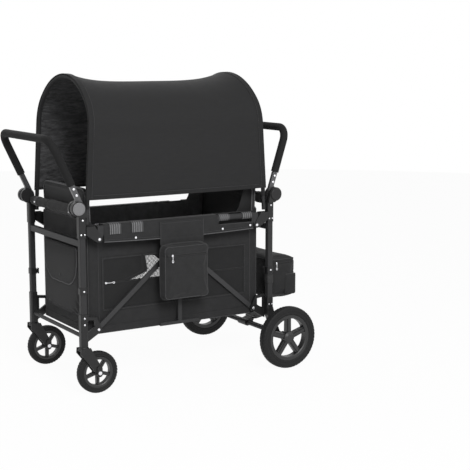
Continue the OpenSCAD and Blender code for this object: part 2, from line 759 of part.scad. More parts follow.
module tub_form() {
    half = tub_half_width;
    top = rail_height + rail_radius + 1;
    difference() {
        translate([0, 0, tub_bottom]) linear_extrude(end_wall_top - tub_bottom) rounded(2 * tub_reach, 2 * half, 14);
        translate([0, 0, tub_bottom + tub_wall]) linear_extrude(end_wall_top - tub_bottom)
            rounded(2 * (tub_reach - tub_wall), 2 * (half - tub_wall), 3);
        translate([-tub_reach + 30, -half - 1, top + band_thick])
            cube([2 * tub_reach - 60, 2 * half + 2, 60]);
    }
    both_sides() {
        translate([-band_reach, half - 1, top]) cube([2 * band_reach, band_out - half + 1, band_thick]);
        translate([-band_reach, band_out - band_thick, band_hem])
            cube([2 * band_reach, band_thick, top - band_hem + band_thick]);
    }
}

module pocket_form() {
    translate([-tub_reach - slip, 0, pocket_bottom + pocket_tall / 2]) rotate([0, -90, 0])
        padded(pocket_tall, 2 * pocket_half_width, pocket_depth, 12, 4, 10, 10);
    translate([-tub_reach - slip - pocket_depth + 11, 0, pocket_bottom + pocket_tall - 1 - flap_tall / 2])
        rotate([0, -90, 0]) translate([0, 0, 2]) linear_extrude(11.5)
            offset(20) square([flap_tall - 40, 2 * pocket_half_width - 56], center = true);
}

module pouch_form() {
    back = band_out + pouch_gap;
    tall = pouch_top - pouch_bottom;
    translate([0, back + 3, pouch_bottom + tall / 2]) rotate([-90, 0, 0])
        padded(pouch_width, tall, pouch_depth - 3, 22, 5, 10, 10);
    translate([0, back, (pouch_bottom + pouch_flap_top) / 2]) rotate([-90, 0, 0]) linear_extrude(3.5)
        offset(12) square([pouch_width - 26 - 24, pouch_flap_top - pouch_bottom - 24], center = true);
    translate([-pouch_width / 2 + 30, band_out + slip, pouch_flap_top - 24])
        cube([pouch_width - 60, pouch_gap + 0.5, 20]);
}

bag_front = post_x + post_depth / 2 + 6.5;

module bag_form() {
    translate([bag_front + bag_depth / 2, 0, bag_bottom])
        padded(bag_depth, 2 * bag_half_width, bag_tall + bag_lid_rise, bag_lid_rise, 5, 10, 12);
    both_sides() {
        translate([bag_front - 2.6, bag_half_width - 40, strap_height])
            cube([3.4, post_y + post_width / 2 + 3 - bag_half_width + 40, strap_wide]);
        translate([post_x, post_y, strap_height]) linear_extrude(strap_wide)
            difference() {
                rounded(post_depth + 6.4 + 2 * slip, post_width + 6, post_corner + 3);
                rounded(post_depth + 2 * slip, post_width + 2 * slip, post_corner + slip);
            }
        translate([post_x + post_depth / 2 + 1, post_y - 6, strap_height]) cube([4, 12, strap_wide]);
    }
}

// half of a wheel ring's section, r0 inside, r1 outside
module ring(r0, r1, w, crown) {
    rotate_extrude($fn = 56)
        polygon([[r0, -w / 2 + 3], [r0 + 3, -w / 2], [r1 - crown, -w / 2], [r1 - crown * 0.3, -w * 0.32],
            [r1, -w * 0.12], [r1, w * 0.12], [r1 - crown * 0.3, w * 0.32], [r1 - crown, w / 2],
            [r0 + 3, w / 2], [r0, w / 2 - 3]]);
}

// the moulded wheel: felloe, spokes with a raised ridge, and the hub
module wheel_rim(opening, seat, w, hub_r, bore, spoke_hub, spoke_rim, first, blind) {
    difference() {
        union() {
            rotate_extrude($fn = 56)
                polygon([[opening, -w * 0.36], [opening + 4, -w * 0.42], [seat, -w * 0.42], [seat, w * 0.42],
                    [opening + 4, w * 0.42], [opening, w * 0.36]]);
            for (i = [0:spoke_count - 1]) rotate([0, 0, first + i * 360 / spoke_count]) {
                translate([0, 0, -w * 0.22]) linear_extrude(w * 0.44)
                    polygon([[hub_r * 0.5, -spoke_hub / 2], [opening + 2, -spoke_rim / 2],
                        [opening + 2, spoke_rim / 2], [hub_r * 0.5, spoke_hub / 2]]);
                translate([0, 0, -w * 0.3]) linear_extrude(w * 0.6)
                    polygon([[hub_r * 0.5, -spoke_hub / 5], [opening + 2, -spoke_rim / 5],
                        [opening + 2, spoke_rim / 5], [hub_r * 0.5, spoke_hub / 5]]);
            }
            translate([0, 0, -w * 0.5]) cylinder(r1 = hub_r * 0.8, r2 = hub_r, h = w * 0.1, $fn = 40);
            translate([0, 0, -w * 0.4]) cylinder(r = hub_r, h = w * 0.76, $fn = 40);
            translate([0, 0, w * 0.36]) cylinder(r1 = hub_r, r2 = hub_r * 0.6, h = w * 0.14, $fn = 40);
        }
        translate([0, 0, -w]) cylinder(r = bore, h = blind ? w * 1.3 : 2 * w);
    }
}

front_seat_r = front_opening + 12;
rear_seat_r = rear_opening + 16;

module front_rim() {
    translate([front_axle_x, post_y, front_wheel_radius]) rotate([-90, 0, 0])
        wheel_rim(front_opening, front_seat_r, front_wheel_width, 15, 5 + run_gap, 15, 13, 90, false);
}

module front_tyre() {
    translate([front_axle_x, post_y, front_wheel_radius]) rotate([-90, 0, 0])
        ring(front_seat_r + slip, front_wheel_radius, front_wheel_width, 8);
}

module rear_rim() {
    translate([axle_x, rear_wheel_reach, axle_z]) rotate([-90, 0, 0])
        wheel_rim(rear_opening, rear_seat_r, rear_wheel_width, 26, stub_radius + run_gap, 27, 25, 270, true);
}

module rear_tyre() {
    translate([axle_x, rear_wheel_reach, axle_z]) rotate([-90, 0, 0])
        ring(rear_seat_r + slip, rear_wheel_radius, rear_wheel_width, 10);
}

fork_in = front_wheel_width / 2 + 2;
fork_thick = 6;

// the swivelling fork: stem, rounded crown and two blades that slant back to the axle
module caster_fork() {
    top = sleeve_foot - run_gap;
    ax = front_axle_x;
    az = front_wheel_radius;
    translate([-post_x, post_y, 0]) {
        translate([0, 0, top - 1]) cylinder(r = stem_radius, h = 34);
        translate([0, 0, top - 16]) rotate_extrude($fn = 40)
            polygon([[0, 0], [fork_in + fork_thick - 2, 0], [fork_in + fork_thick, 3], [fork_in + fork_thick - 1, 9],
                [sleeve_x / 2 + 2, 16], [0, 16]]);
    }
    for (s = [-1, 1])
        difference() {
            slab(post_y + (s > 0 ? fork_in : -fork_in - fork_thick), post_y + (s > 0 ? fork_in + fork_thick : -fork_in))
                union() {
                    polygon([[-post_x - 22, top - 4], [-post_x + 22, top - 4], [ax + 8, az + 26], [ax + 13, az + 4],
                        [ax + 6, az - 14], [ax - 6, az - 14], [ax - 15, az + 2], [-post_x - 24, top - 26]]);
                    translate([ax, az]) circle(14);
                }
            rod(ax, az, 5 + slip, 0, post_track);
        }
    for (s = [-1, 1])
        difference() {
            slab(post_y + (s > 0 ? fork_in + fork_thick - 0.5 : -fork_in - fork_thick - 5),
                post_y + (s > 0 ? fork_in + fork_thick + 5 : -fork_in - fork_thick + 0.5))
                translate([ax, az + 6]) rounded(24, 46, 11.5);
            rod(ax, az, 5 + slip, 0, post_track);
        }
}

module caster_axle() {
    end = fork_in + fork_thick + 5;
    rod(front_axle_x, front_wheel_radius, 5, post_y - end - 1, post_y + end + 1);
    rod(front_axle_x, front_wheel_radius, 8, post_y + end + 0.1, post_y + end + 3.1);
    rod(front_axle_x, front_wheel_radius, 8, post_y - end - 3.1, post_y - end - 0.1);
}

module axle_form() {
    tube_end = wheel_in - run_gap;
    difference() {
        rod(axle_x, axle_z, axle_radius, -tube_end, tube_end);
        rod(axle_x, axle_z, axle_radius - tube_wall - 1, -tube_end + 30, tube_end - 30);
    }
    both_sides() rod(axle_x, axle_z, stub_radius, tube_end - 1, rear_wheel_reach + rear_wheel_width * 0.26);
}

// the pedal turns on the axle and carries the rod that reaches both wheels
module brake_form() {
    rod_at = axle_radius + 16;
    rod_r = 4.5;
    block_in = sleeve_out + 6;
    difference() {
        union() {
            rod(axle_x, axle_z, axle_radius + 6, -34, 34);
            slab(-26, 26) polygon([[axle_x + 4, axle_z + 12], [axle_x + 44, axle_z + 26], [axle_x + 42, axle_z + 18],
                [axle_x + 30, axle_z - 8], [axle_x + 4, axle_z - 12]]);
            translate([axle_x, 0, axle_z]) rotate([0, -10, 0]) translate([36, 0, 10]) linear_extrude(7)
                translate([(pedal_reach - 36) / 2, 0]) rounded(pedal_reach - 34, 92, 14);
            for (i = [-2:2])
                translate([axle_x, i * 16, axle_z]) rotate([0, -10, 0])
                    translate([46, -2.5, 16.5]) cube([pedal_reach - 58, 5, 2.5]);
            rod(axle_x + rod_at, axle_z, rod_r, -block_in - 12, block_in + 12);
            both_sides() {
                rod(axle_x + rod_at, axle_z, 9, block_in, wheel_in - 4);
                rod(axle_x + rod_at, axle_z, 5, wheel_in - 5, wheel_in - 1.5);
            }
        }
        rod(axle_x, axle_z, axle_radius + run_gap, -60, 60);
    }
}

module front_posts() {
    color([0.16, 0.16, 0.17]) place() both_sides() post(front_post_bottom);
}

module front_crossbars() {
    color([0.14, 0.14, 0.15]) place() crossbars(sleeve_in);
}

module front_top_bar() {
    color([0.10, 0.10, 0.11]) place() top_bar();
}

module front_collars() {
    color([0.12, 0.12, 0.13]) place() both_sides() collar();
}

module front_corner_clips() {
    color([0.12, 0.12, 0.13]) place() both_sides() corner_clip();
}

module front_leg_sleeves() {
    color([0.12, 0.12, 0.13]) place() both_sides() front_leg_sleeve();
}

module front_rail_brackets() {
    color([0.13, 0.13, 0.14]) place() both_sides() rail_bracket();
}

module front_handle_hubs() {
    color([0.11, 0.11, 0.12]) place() both_sides() handle_hub();
}

module front_canopy_hoop() {
    color([0.15, 0.15, 0.16]) place() canopy_hoop();
}

module front_fasteners() {
    color([0.75, 0.75, 0.76]) place() fasteners(false);
}

module tub() {
    color([0.13, 0.13, 0.14]) place() tub_form();
}

module front_pocket() {
    color([0.14, 0.14, 0.15]) place() pocket_form();
}

module front_seat_back() {
    color([0.15, 0.15, 0.16]) place() seat_back();
}

module front_seat_cushion() {
    color([0.15, 0.15, 0.16]) place() seat_cushion();
}

module floor_mat() {
    color([0.12, 0.12, 0.13]) place() translate([0, 0, tub_bottom + tub_wall])
        linear_extrude(mat_thick) rounded(2 * (tub_reach - tub_wall - 2), 2 * (tub_half_width - tub_wall - 2), 8);
}

module canopy() {
    color([0.14, 0.14, 0.15]) place() canopy_shell(14, 32);
}

module caster_fork_left() {
    color([0.12, 0.12, 0.13]) place() mirror([0, 1, 0]) caster_fork();
}

module caster_fork_right() {
    color([0.12, 0.12, 0.13]) place() caster_fork();
}

module caster_axle_left() {
    color([0.6, 0.6, 0.62]) place() mirror([0, 1, 0]) caster_axle();
}

module caster_axle_right() {
    color([0.6, 0.6, 0.62]) place() caster_axle();
}

module front_rim_left() {
    color([0.10, 0.10, 0.11]) place() mirror([0, 1, 0]) front_rim();
}

module front_rim_right() {
    color([0.10, 0.10, 0.11]) place() front_rim();
}

module front_tyre_left() {
    color([0.08, 0.08, 0.09]) place() mirror([0, 1, 0]) front_tyre();
}

module front_tyre_right() {
    color([0.08, 0.08, 0.09]) place() front_tyre();
}

module front_handle_tube() {
    color([0.3, 0.3, 0.31]) front_handle_place() handle_tube();
}

module front_handle_grip() {
    color([0.08, 0.08, 0.09]) front_handle_place() handle_grip();
}

module front_button_left() {
    color([0.4, 0.4, 0.41]) place() mirror([0, 1, 0]) button();
}

module front_button_right() {
    color([0.12, 0.12, 0.13]) place() button();
}

module outer_cross_bars() {
    color([0.22, 0.22, 0.23]) place() both_sides() cross_bar(outer_bar_y, slip);
}

module inner_cross_bars() {
    color([0.22, 0.22, 0.23]) place() at_rear() both_sides() cross_bar(inner_bar_y, run_gap);
}

module crossing_pins() {
    color([0.75, 0.75, 0.76]) place() both_sides() pin(0, crossing_z, inner_bar_y, hanger_y + hanger_thick + run_gap);
}

module centre_hangers() {
    color([0.18, 0.18, 0.19]) place() both_sides() difference() {
        slab(hanger_y, hanger_y + hanger_thick) union() {
            translate([-hanger_width / 2, tub_bottom - floor_tube_tall - 0.3])
                square([hanger_width, crossing_z - tub_bottom + floor_tube_tall]);
            translate([0, crossing_z]) circle(hanger_width / 2 + 1);
        }
        rod(0, crossing_z, pin_radius + run_gap, hanger_y - 1, hanger_y + hanger_thick + 1);
    }
}

module floor_spine() {
    low = tub_bottom - run_gap - floor_tube_tall;
    color([0.16, 0.16, 0.17]) place() {
        translate([-8, -hanger_y, low]) cube([16, 2 * hanger_y, floor_tube_tall]);
        both_sides() {
            translate([hanger_width / 2, hanger_y - 3, low])
                cube([floor_tube_reach - hanger_width / 2, hanger_thick + 3, floor_tube_tall]);
            translate([-floor_tube_reach, hanger_y - 3, low])
                cube([floor_tube_reach - hanger_width / 2, hanger_thick + 3, floor_tube_tall]);
            translate([-floor_tube_reach, hanger_y - 3, low]) cube([2 * floor_tube_reach, 3, floor_tube_tall]);
            for (x = [-56, 56]) rivet(x, hanger_y + hanger_thick, low + floor_tube_tall / 2, 4);
        }
    }
}

module side_pouch() {
    color([0.15, 0.15, 0.16]) place() mirror([0, 1, 0]) pouch_form();
}

module front_rails() {
    color([0.13, 0.13, 0.14]) place() both_sides() rail(inner_bar_y);
}

module rear_rails() {
    color([0.13, 0.13, 0.14]) place() at_rear() both_sides() rail(outer_bar_y);
}

module rear_posts() {
    color([0.16, 0.16, 0.17]) place() at_rear() both_sides() post(rear_post_bottom);
}

module rear_crossbars() {
    color([0.14, 0.14, 0.15]) place() at_rear() crossbars(sleeve_in + 2);
}

module rear_top_bar() {
    color([0.10, 0.10, 0.11]) place() at_rear() top_bar();
}

module rear_collars() {
    color([0.12, 0.12, 0.13]) place() at_rear() both_sides() collar();
}

module rear_corner_clips() {
    color([0.12, 0.12, 0.13]) place() at_rear() both_sides() corner_clip();
}

module rear_leg_sleeves() {
    color([0.12, 0.12, 0.13]) place() at_rear() both_sides() rear_leg_sleeve();
}

module rear_rail_brackets() {
    color([0.13, 0.13, 0.14]) place() at_rear() both_sides() rail_bracket();
}

module rear_handle_hubs() {
    color([0.11, 0.11, 0.12]) place() at_rear() both_sides() handle_hub();
}

module rear_canopy_hoop() {
    color([0.15, 0.15, 0.16]) place() at_rear() canopy_hoop();
}

module rear_fasteners() {
    color([0.75, 0.75, 0.76]) place() at_rear() fasteners(true);
}

module rear_seat_back() {
    color([0.15, 0.15, 0.16]) place() at_rear() seat_back();
}

module rear_seat_cushion() {
    color([0.15, 0.15, 0.16]) place() at_rear() seat_cushion();
}

module rear_axle() {
    color([0.2, 0.2, 0.21]) place() axle_form();
}

module cooler_bag() {
    color([0.13, 0.13, 0.14]) place() bag_form();
}

module rear_rim_left() {
    color([0.10, 0.10, 0.11]) place() mirror([0, 1, 0]) rear_rim();
}

module rear_rim_right() {
    color([0.10, 0.10, 0.11]) place() rear_rim();
}

module rear_tyre_left() {
    color([0.08, 0.08, 0.09]) place() mirror([0, 1, 0]) rear_tyre();
}

module rear_tyre_right() {
    color([0.08, 0.08, 0.09]) place() rear_tyre();
}

module brake_pedal() {
    color([0.12, 0.12, 0.13]) place() brake_form();
}

module rear_handle_tube() {
    color([0.3, 0.3, 0.31]) rear_handle_place() handle_tube();
}

module rear_handle_grip() {
    color([0.08, 0.08, 0.09]) rear_handle_place() handle_grip();
}

module rear_button_left() {
    color([0.12, 0.12, 0.13]) place() at_rear() mirror([0, 1, 0]) button();
}

module rear_button_right() {
    color([0.12, 0.12, 0.13]) place() at_rear() button();
}

front_posts();
front_crossbars();
front_top_bar();
front_collars();
front_corner_clips();
front_leg_sleeves();
front_rail_brackets();
front_handle_hubs();
front_canopy_hoop();
front_fasteners();
tub();
front_pocket();
front_seat_back();
front_seat_cushion();
floor_mat();
canopy();
caster_fork_left();
caster_fork_right();
caster_axle_left();
caster_axle_right();
front_rim_left();
front_rim_right();
front_tyre_left();
front_tyre_right();
front_handle_tube();
front_handle_grip();
front_button_left();
front_button_right();
outer_cross_bars();
inner_cross_bars();
crossing_pins();
centre_hangers();
floor_spine();
side_pouch();
front_rails();
rear_rails();
rear_posts();
rear_crossbars();
rear_top_bar();
rear_collars();
rear_corner_clips();
rear_leg_sleeves();
rear_rail_brackets();
rear_handle_hubs();
rear_canopy_hoop();
rear_fasteners();
rear_seat_back();
rear_seat_cushion();
rear_axle();
cooler_bag();
rear_rim_left();
rear_rim_right();
rear_tyre_left();
rear_tyre_right();
brake_pedal();
rear_handle_tube();
rear_handle_grip();
rear_button_left();
rear_button_right();
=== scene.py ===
"""Stroller wagon: finishes, soft goods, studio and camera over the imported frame."""

import json
import math

import bpy
from mathutils import Matrix, Vector, noise
from mathutils.bvhtree import BVHTree


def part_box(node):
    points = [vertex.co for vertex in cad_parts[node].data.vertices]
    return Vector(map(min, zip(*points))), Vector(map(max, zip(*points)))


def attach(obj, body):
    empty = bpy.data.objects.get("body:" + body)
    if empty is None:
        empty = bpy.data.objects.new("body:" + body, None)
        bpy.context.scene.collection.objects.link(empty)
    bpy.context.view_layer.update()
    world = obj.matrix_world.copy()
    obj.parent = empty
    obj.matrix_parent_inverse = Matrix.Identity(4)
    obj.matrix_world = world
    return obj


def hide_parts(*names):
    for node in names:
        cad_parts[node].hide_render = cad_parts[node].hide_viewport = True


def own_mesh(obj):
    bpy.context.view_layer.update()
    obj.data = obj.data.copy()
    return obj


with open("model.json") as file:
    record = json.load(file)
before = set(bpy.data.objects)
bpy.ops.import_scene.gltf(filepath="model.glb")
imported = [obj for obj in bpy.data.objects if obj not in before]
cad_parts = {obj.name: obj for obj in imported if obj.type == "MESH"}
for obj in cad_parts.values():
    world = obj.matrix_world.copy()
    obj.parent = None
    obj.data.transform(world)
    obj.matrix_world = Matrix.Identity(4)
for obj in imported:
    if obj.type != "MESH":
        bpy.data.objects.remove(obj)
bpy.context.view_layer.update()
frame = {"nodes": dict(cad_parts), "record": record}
scene = bpy.context.scene

MM = 0.001
tub_low, tub_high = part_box("tub")
MID = (tub_low[0] + tub_high[0]) / 2
SIDES = {"near": -1, "far": 1}
ENDS = {"front": -1, "rear": 1}


def at(x, y, z):
    """A place on the wagon in millimetres from its middle, as metres in the shared frame."""
    return Vector((MID + x * MM, y * MM, z * MM))


def spot(place):
    """A place of the shared frame as millimetres on the wagon."""
    return Vector(((place[0] - MID) / MM, place[1] / MM, place[2] / MM))


# ---------------------------------------------------------------- modelling by hand

def clear():
    """Object mode with nothing selected."""
    if bpy.context.object and bpy.context.object.mode != "OBJECT":
        bpy.ops.object.mode_set(mode="OBJECT")
    bpy.ops.object.select_all(action="DESELECT")


def only(piece):
    clear()
    piece.select_set(True)
    bpy.context.view_layer.objects.active = piece


def named(name):
    piece = bpy.context.object
    piece.name = name
    piece.data.name = name
    return piece


def settle(piece):
    """Puts a piece's place, turn and size into its mesh."""
    only(piece)
    bpy.ops.object.transform_apply(location=True, rotation=True, scale=True)
    return piece


def block(name, low, high):
    """A block between two corners."""
    clear()
    a, b = at(*low), at(*high)
    bpy.ops.mesh.primitive_cube_add(size=1, location=(a + b) / 2)
    piece = named(name)
    piece.scale = b - a
    return settle(piece)


def round_bar(name, start, end, radius, sides=32):
    """A round bar from one place to another."""
    clear()
    a, b = at(*start), at(*end)
    bpy.ops.mesh.primitive_cylinder_add(vertices=sides, radius=radius * MM, depth=(b - a).length,
                                        location=(a + b) / 2)
    piece = named(name)
    piece.rotation_euler = (b - a).to_track_quat("Z", "Y").to_euler()
    return settle(piece)


def every(place, way):
    """A test that all faces and edges pass."""
    return True


def choose(piece, kind, test):
    """Edit mode with just those faces or edges chosen whose place and direction pass."""
    only(piece)
    bpy.ops.object.mode_set(mode="EDIT")
    bpy.ops.mesh.select_mode(type=kind)
    bpy.ops.mesh.select_all(action="DESELECT")
    bpy.ops.object.mode_set(mode="OBJECT")
    mesh = piece.data
    if kind == "FACE":
        for face in mesh.polygons:
            face.select = test(spot(face.center), face.normal)
    else:
        for edge in mesh.edges:
            a, b = (mesh.vertices[i].co for i in edge.vertices)
            edge.select = test(spot((a + b) / 2), (b - a).normalized())
    bpy.ops.object.mode_set(mode="EDIT")


def done():
    bpy.ops.object.mode_set(mode="OBJECT")


def soften(piece, width, steps, test):
    """Bevels the chosen edges."""
    choose(piece, "EDGE", test)
    bpy.ops.mesh.bevel(offset=width * MM, segments=steps, affect="EDGES")
    done()


def work(piece, kind, **settings):
    """Adds a modifier, sets it and applies it."""
    only(piece)
    tool = piece.modifiers.new(kind.title(), kind)
    for key, value in settings.items():
        setattr(tool, key, value)
    bpy.ops.object.modifier_apply(modifier=tool.name)
    return piece


def smooth(piece, angle=40):
    """Smooth shading, with edges kept that turn by more than an angle."""
    only(piece)
    bpy.ops.object.shade_smooth_by_angle(angle=math.radians(angle))
    return piece


def flowing(piece):
    """Smooth shading all over, as on cloth."""
    only(piece)
    bpy.ops.object.shade_smooth()
    return piece


def thicken(piece, thick, offset=0):
    """Gives a sheet its thickness, by default half to each side."""
    return work(piece, "SOLIDIFY", thickness=thick * MM, offset=offset)


def tidy(piece):
    """Merges doubles and turns the faces outwards."""
    only(piece)
    bpy.ops.object.mode_set(mode="EDIT")
    bpy.ops.mesh.select_all(action="SELECT")
    bpy.ops.mesh.remove_doubles(threshold=0.00002)
    bpy.ops.mesh.normals_make_consistent(inside=False)
    done()
    return piece


def sheet(name, across, along, place):
    """A grid of cloth laid point by point; place gives millimetres for shares from 0 to 1."""
    clear()
    bpy.ops.mesh.primitive_grid_add(x_subdivisions=across, y_subdivisions=along, size=2)
    piece = named(name)
    for corner in piece.data.vertices:
        corner.co = at(*place((corner.co.x + 1) / 2, (corner.co.y + 1) / 2))
    return piece


def drawn(name, runs, radius, fineness, closed=False):
    """Round rods drawn along runs of points, as one mesh."""
    curve = bpy.data.curves.new(name, "CURVE")
    curve.dimensions = "3D"
    curve.bevel_depth = radius * MM
    curve.bevel_resolution = fineness
    curve.use_fill_caps = True
    for path in runs:
        run = curve.splines.new("POLY")
        run.points.add(len(path) - 1)
        for point, place in zip(run.points, path):
            point.co = (*at(*place), 1)
        run.use_cyclic_u = closed
    piece = bpy.data.objects.new(name, curve)
    scene.collection.objects.link(piece)
    only(piece)
    bpy.ops.object.convert(target="MESH")
    return bpy.context.object


def cording(name, path, radius, closed=False):
    """A round cord or pipe laid along points."""
    return flowing(drawn(name, [path], radius, 2, closed))


def spread(low, high, parts):
    """Numbers in even steps from low to high."""
    return [low + (high - low) * i / parts for i in range(parts + 1)]


def line(start, end, parts=24):
    """Points along a straight line."""
    return [Vector(start).lerp(Vector(end), i / parts) for i in range(parts + 1)]


def walk(path):
    """A path's length, and a function that gives the place at a length along it."""
    points = [Vector(place) for place in path]
    marks, total = [], 0.0
    for a, b in zip(points, points[1:]):
        marks.append((total, a, b))
        total += (b - a).length

    def reach(far):
        start, a, b = [mark for mark in marks if mark[0] <= far][-1]
        return a.lerp(b, (far - start) / (b - a).length)

    return total, reach


STITCH_PITCH, STITCH_PART = 8, 0.6


def stitches(name, path, radius=0.5):
    """A row of stitches along points, each filling a part of the pitch."""
    total, reach = walk(path)
    ends = [(reach(k * STITCH_PITCH), reach((k + STITCH_PART) * STITCH_PITCH))
            for k in range(int(total / STITCH_PITCH))]
    return drawn(name, ends, radius, 0)


def on_skin(piece, path, lift=0.4):
    """Lays points on the nearest place of a pad's skin, a little proud of it."""
    mesh = piece.data
    skin = BVHTree.FromPolygons([c.co for c in mesh.vertices], [tuple(f.vertices) for f in mesh.polygons])
    laid = []
    for place in path:
        near, out, _, _ = skin.find_nearest(at(*place))
        laid.append(spot(near) + out * lift)
    return laid


def strap(name, path, side, width, thick):
    """Webbing: one edge drawn on from point to point, then given its thickness."""
    clear()
    bpy.ops.mesh.primitive_plane_add(size=1)
    piece = named(name)
    half = Vector(side).normalized() * width / 2
    first, second = Vector(path[0]), Vector(path[1])
    ends = (first - half, first + half, second - half, second + half)
    for corner, place in zip(piece.data.vertices, ends):
        corner.co = at(*place)
    choose(piece, "EDGE", lambda p, d: (p - second).length < 0.01)
    for last, step in zip(path[1:], path[2:]):
        bpy.ops.mesh.extrude_region_move(
            TRANSFORM_OT_translate={"value": (Vector(step) - Vector(last)) * MM})
    done()
    return smooth(thicken(tidy(piece), thick), 35)


def again(piece, name, matrix):
    """A copy with a mesh of its own, moved by a matrix."""
    copy = piece.copy()
    copy.data = piece.data.copy()
    copy.name = copy.data.name = name
    copy.data.transform(matrix)
    if matrix.determinant() < 0:
        copy.data.flip_normals()
    scene.collection.objects.link(copy)
    return copy


def join(name, pieces):
    clear()
    for piece in pieces:
        piece.select_set(True)
    bpy.context.view_layer.objects.active = pieces[0]
    bpy.ops.object.join()
    return named(name)


def shift(x, y, z):
    return Matrix.Translation((x * MM, y * MM, z * MM))


def mirror(axis):
    """Mirror through the wagon's middle along X or Y."""
    if axis == "X":
        return Matrix.Translation((2 * MID, 0, 0)) @ Matrix.Scale(-1, 4, (1, 0, 0))
    return Matrix.Scale(-1, 4, (0, 1, 0))


def rounded_path(half_a, half_b, radius, steps=6, fill=12):
    """A rectangle with round corners as pairs, with points along its straight sides too."""
    corners = []
    for qa, qb, start in ((1, 1, 0), (-1, 1, 90), (-1, -1, 180), (1, -1, 270)):
        for i in range(steps + 1):
            t = math.radians(start + 90 * i / steps)
            corners.append((qa * (half_a - radius) + radius * math.cos(t),
                            qb * (half_b - radius) + radius * math.sin(t)))
    path = []
    for here, there in zip(corners, corners[1:] + corners[:1]):
        far = math.dist(here, there)
        parts = fill if far > radius else 1
        path += [(here[0] + (there[0] - here[0]) * i / parts, here[1] + (there[1] - here[1]) * i / parts)
                 for i in range(parts)]
    return path


PAD_PRESSURE, PAD_STEPS = 4.0, 20


def plump(piece, voxel, cap, held=None):
    """Fills a pad: its skin is remeshed, blown up as cloth, kept within a cap and smoothed."""
    work(piece, "REMESH", mode="VOXEL", voxel_size=voxel * MM)
    home = [corner.co.copy() for corner in piece.data.vertices]
    only(piece)
    skin = piece.modifiers.new("Cloth", "CLOTH")
    skin.settings.quality = 4
    skin.settings.use_pressure = True
    skin.settings.uniform_pressure_force = PAD_PRESSURE
    skin.settings.effector_weights.gravity = 0
    skin.collision_settings.use_self_collision = False
    if held:
        pins = piece.vertex_groups.new(name="seam")
        pins.add([c.index for c in piece.data.vertices if held(spot(c.co))], 1.0, "REPLACE")
        skin.settings.vertex_group_mass = "seam"
    for step in range(1, PAD_STEPS + 1):
        scene.frame_set(step)
    bpy.ops.object.modifier_apply(modifier=skin.name)
    for corner, start in zip(piece.data.vertices, home):
        far = corner.co - start
        if far.length > cap * MM:
            corner.co = start + far * (cap * MM / far.length)
    scene.frame_set(1)
    work(piece, "SMOOTH", factor=0.5, iterations=3)
    work(piece, "SUBSURF", levels=1, render_levels=1)
    return flowing(piece)


def sew(piece, depth, width, distance):
    """Presses sewn lines into a pad; distance gives how far a place is from the nearest line."""
    outwards = [corner.normal.copy() for corner in piece.data.vertices]
    for corner, out in zip(piece.data.vertices, outwards):
        far = distance(spot(corner.co))
        if far < 3 * width:
            corner.co -= out * depth * MM * math.exp(-(far / width) ** 2)
    piece.data.update()


def ruffle(piece, size, depth, still=None):
    """Slow folds in cloth, the same on each run; still keeps a place from moving."""
    outwards = [corner.normal.copy() for corner in piece.data.vertices]
    for corner, out in zip(piece.data.vertices, outwards):
        place = spot(corner.co)
        hold = still(place) if still else 1
        corner.co += out * depth * MM * hold * noise.noise(place / size)
    piece.data.update()


# ---------------------------------------------------------------- finishes

SURFACE = [("Colour", "Color"), ("Roughness", "Float"), ("Height", "Float")]


def group(name, ins, outs=SURFACE):
    """A shader group, and the sockets that stand inside it for its inputs and outputs."""
    tree = bpy.data.node_groups.new(name, "ShaderNodeTree")
    for label, kind, value in ins:
        socket = tree.interface.new_socket(label, in_out="INPUT", socket_type="NodeSocket" + kind)
        socket.default_value = value
    for label, kind in outs:
        tree.interface.new_socket(label, in_out="OUTPUT", socket_type="NodeSocket" + kind)
    return tree, tree.nodes.new("NodeGroupInput").outputs, tree.nodes.new("NodeGroupOutput").inputs


def give(tree, outs, **values):
    """Joins sockets to a group's outputs."""
    for label, value in values.items():
        tree.links.new(value, outs[label])
    return tree


def sum_node(tree, operation, *values):
    """A math node on sockets or numbers."""
    node = tree.nodes.new("ShaderNodeMath")
    node.operation = operation
    for socket, value in zip(node.inputs, values):
        if isinstance(value, (int, float)):
            socket.default_value = value
        else:
            tree.links.new(value, socket)
    return node.outputs[0]


def blend_colour(tree, share, first, second):
    node = tree.nodes.new("ShaderNodeMix")
    node.data_type = "RGBA"
    tree.links.new(share, node.inputs["Factor"])
    tree.links.new(first, node.inputs[6])
    tree.links.new(second, node.inputs[7])
    return node.outputs[2]


def vector_node(tree, operation, first, second, socket=1):
    node = tree.nodes.new("ShaderNodeVectorMath")
    node.operation = operation
    tree.links.new(first, node.inputs[0])
    tree.links.new(second, node.inputs[socket])
    return node.outputs


def split(tree, vector):
    """The three parts of a vector."""
    node = tree.nodes.new("ShaderNodeSeparateXYZ")
    tree.links.new(vector, node.inputs[0])
    return node.outputs


def object_place(tree):
    return tree.nodes.new("ShaderNodeTexCoord").outputs["Object"]


def cloud(tree, place, scale, detail=3, rough=0.55):
    node = tree.nodes.new("ShaderNodeTexNoise")
    node.inputs["Detail"].default_value = detail
    node.inputs["Roughness"].default_value = rough
    if isinstance(scale, (int, float)):
        node.inputs["Scale"].default_value = scale
    else:
        tree.links.new(scale, node.inputs["Scale"])
    tree.links.new(place, node.inputs["Vector"])
    return node.outputs["Fac"]


def stretch(tree, value, low, high, to_low=0.0, to_high=1.0):
    node = tree.nodes.new("ShaderNodeMapRange")
    for label, number in (("From Min", low), ("From Max", high), ("To Min", to_low), ("To Max", to_high)):
        node.inputs[label].default_value = number
    tree.links.new(value, node.inputs["Value"])
    return node.outputs["Result"]


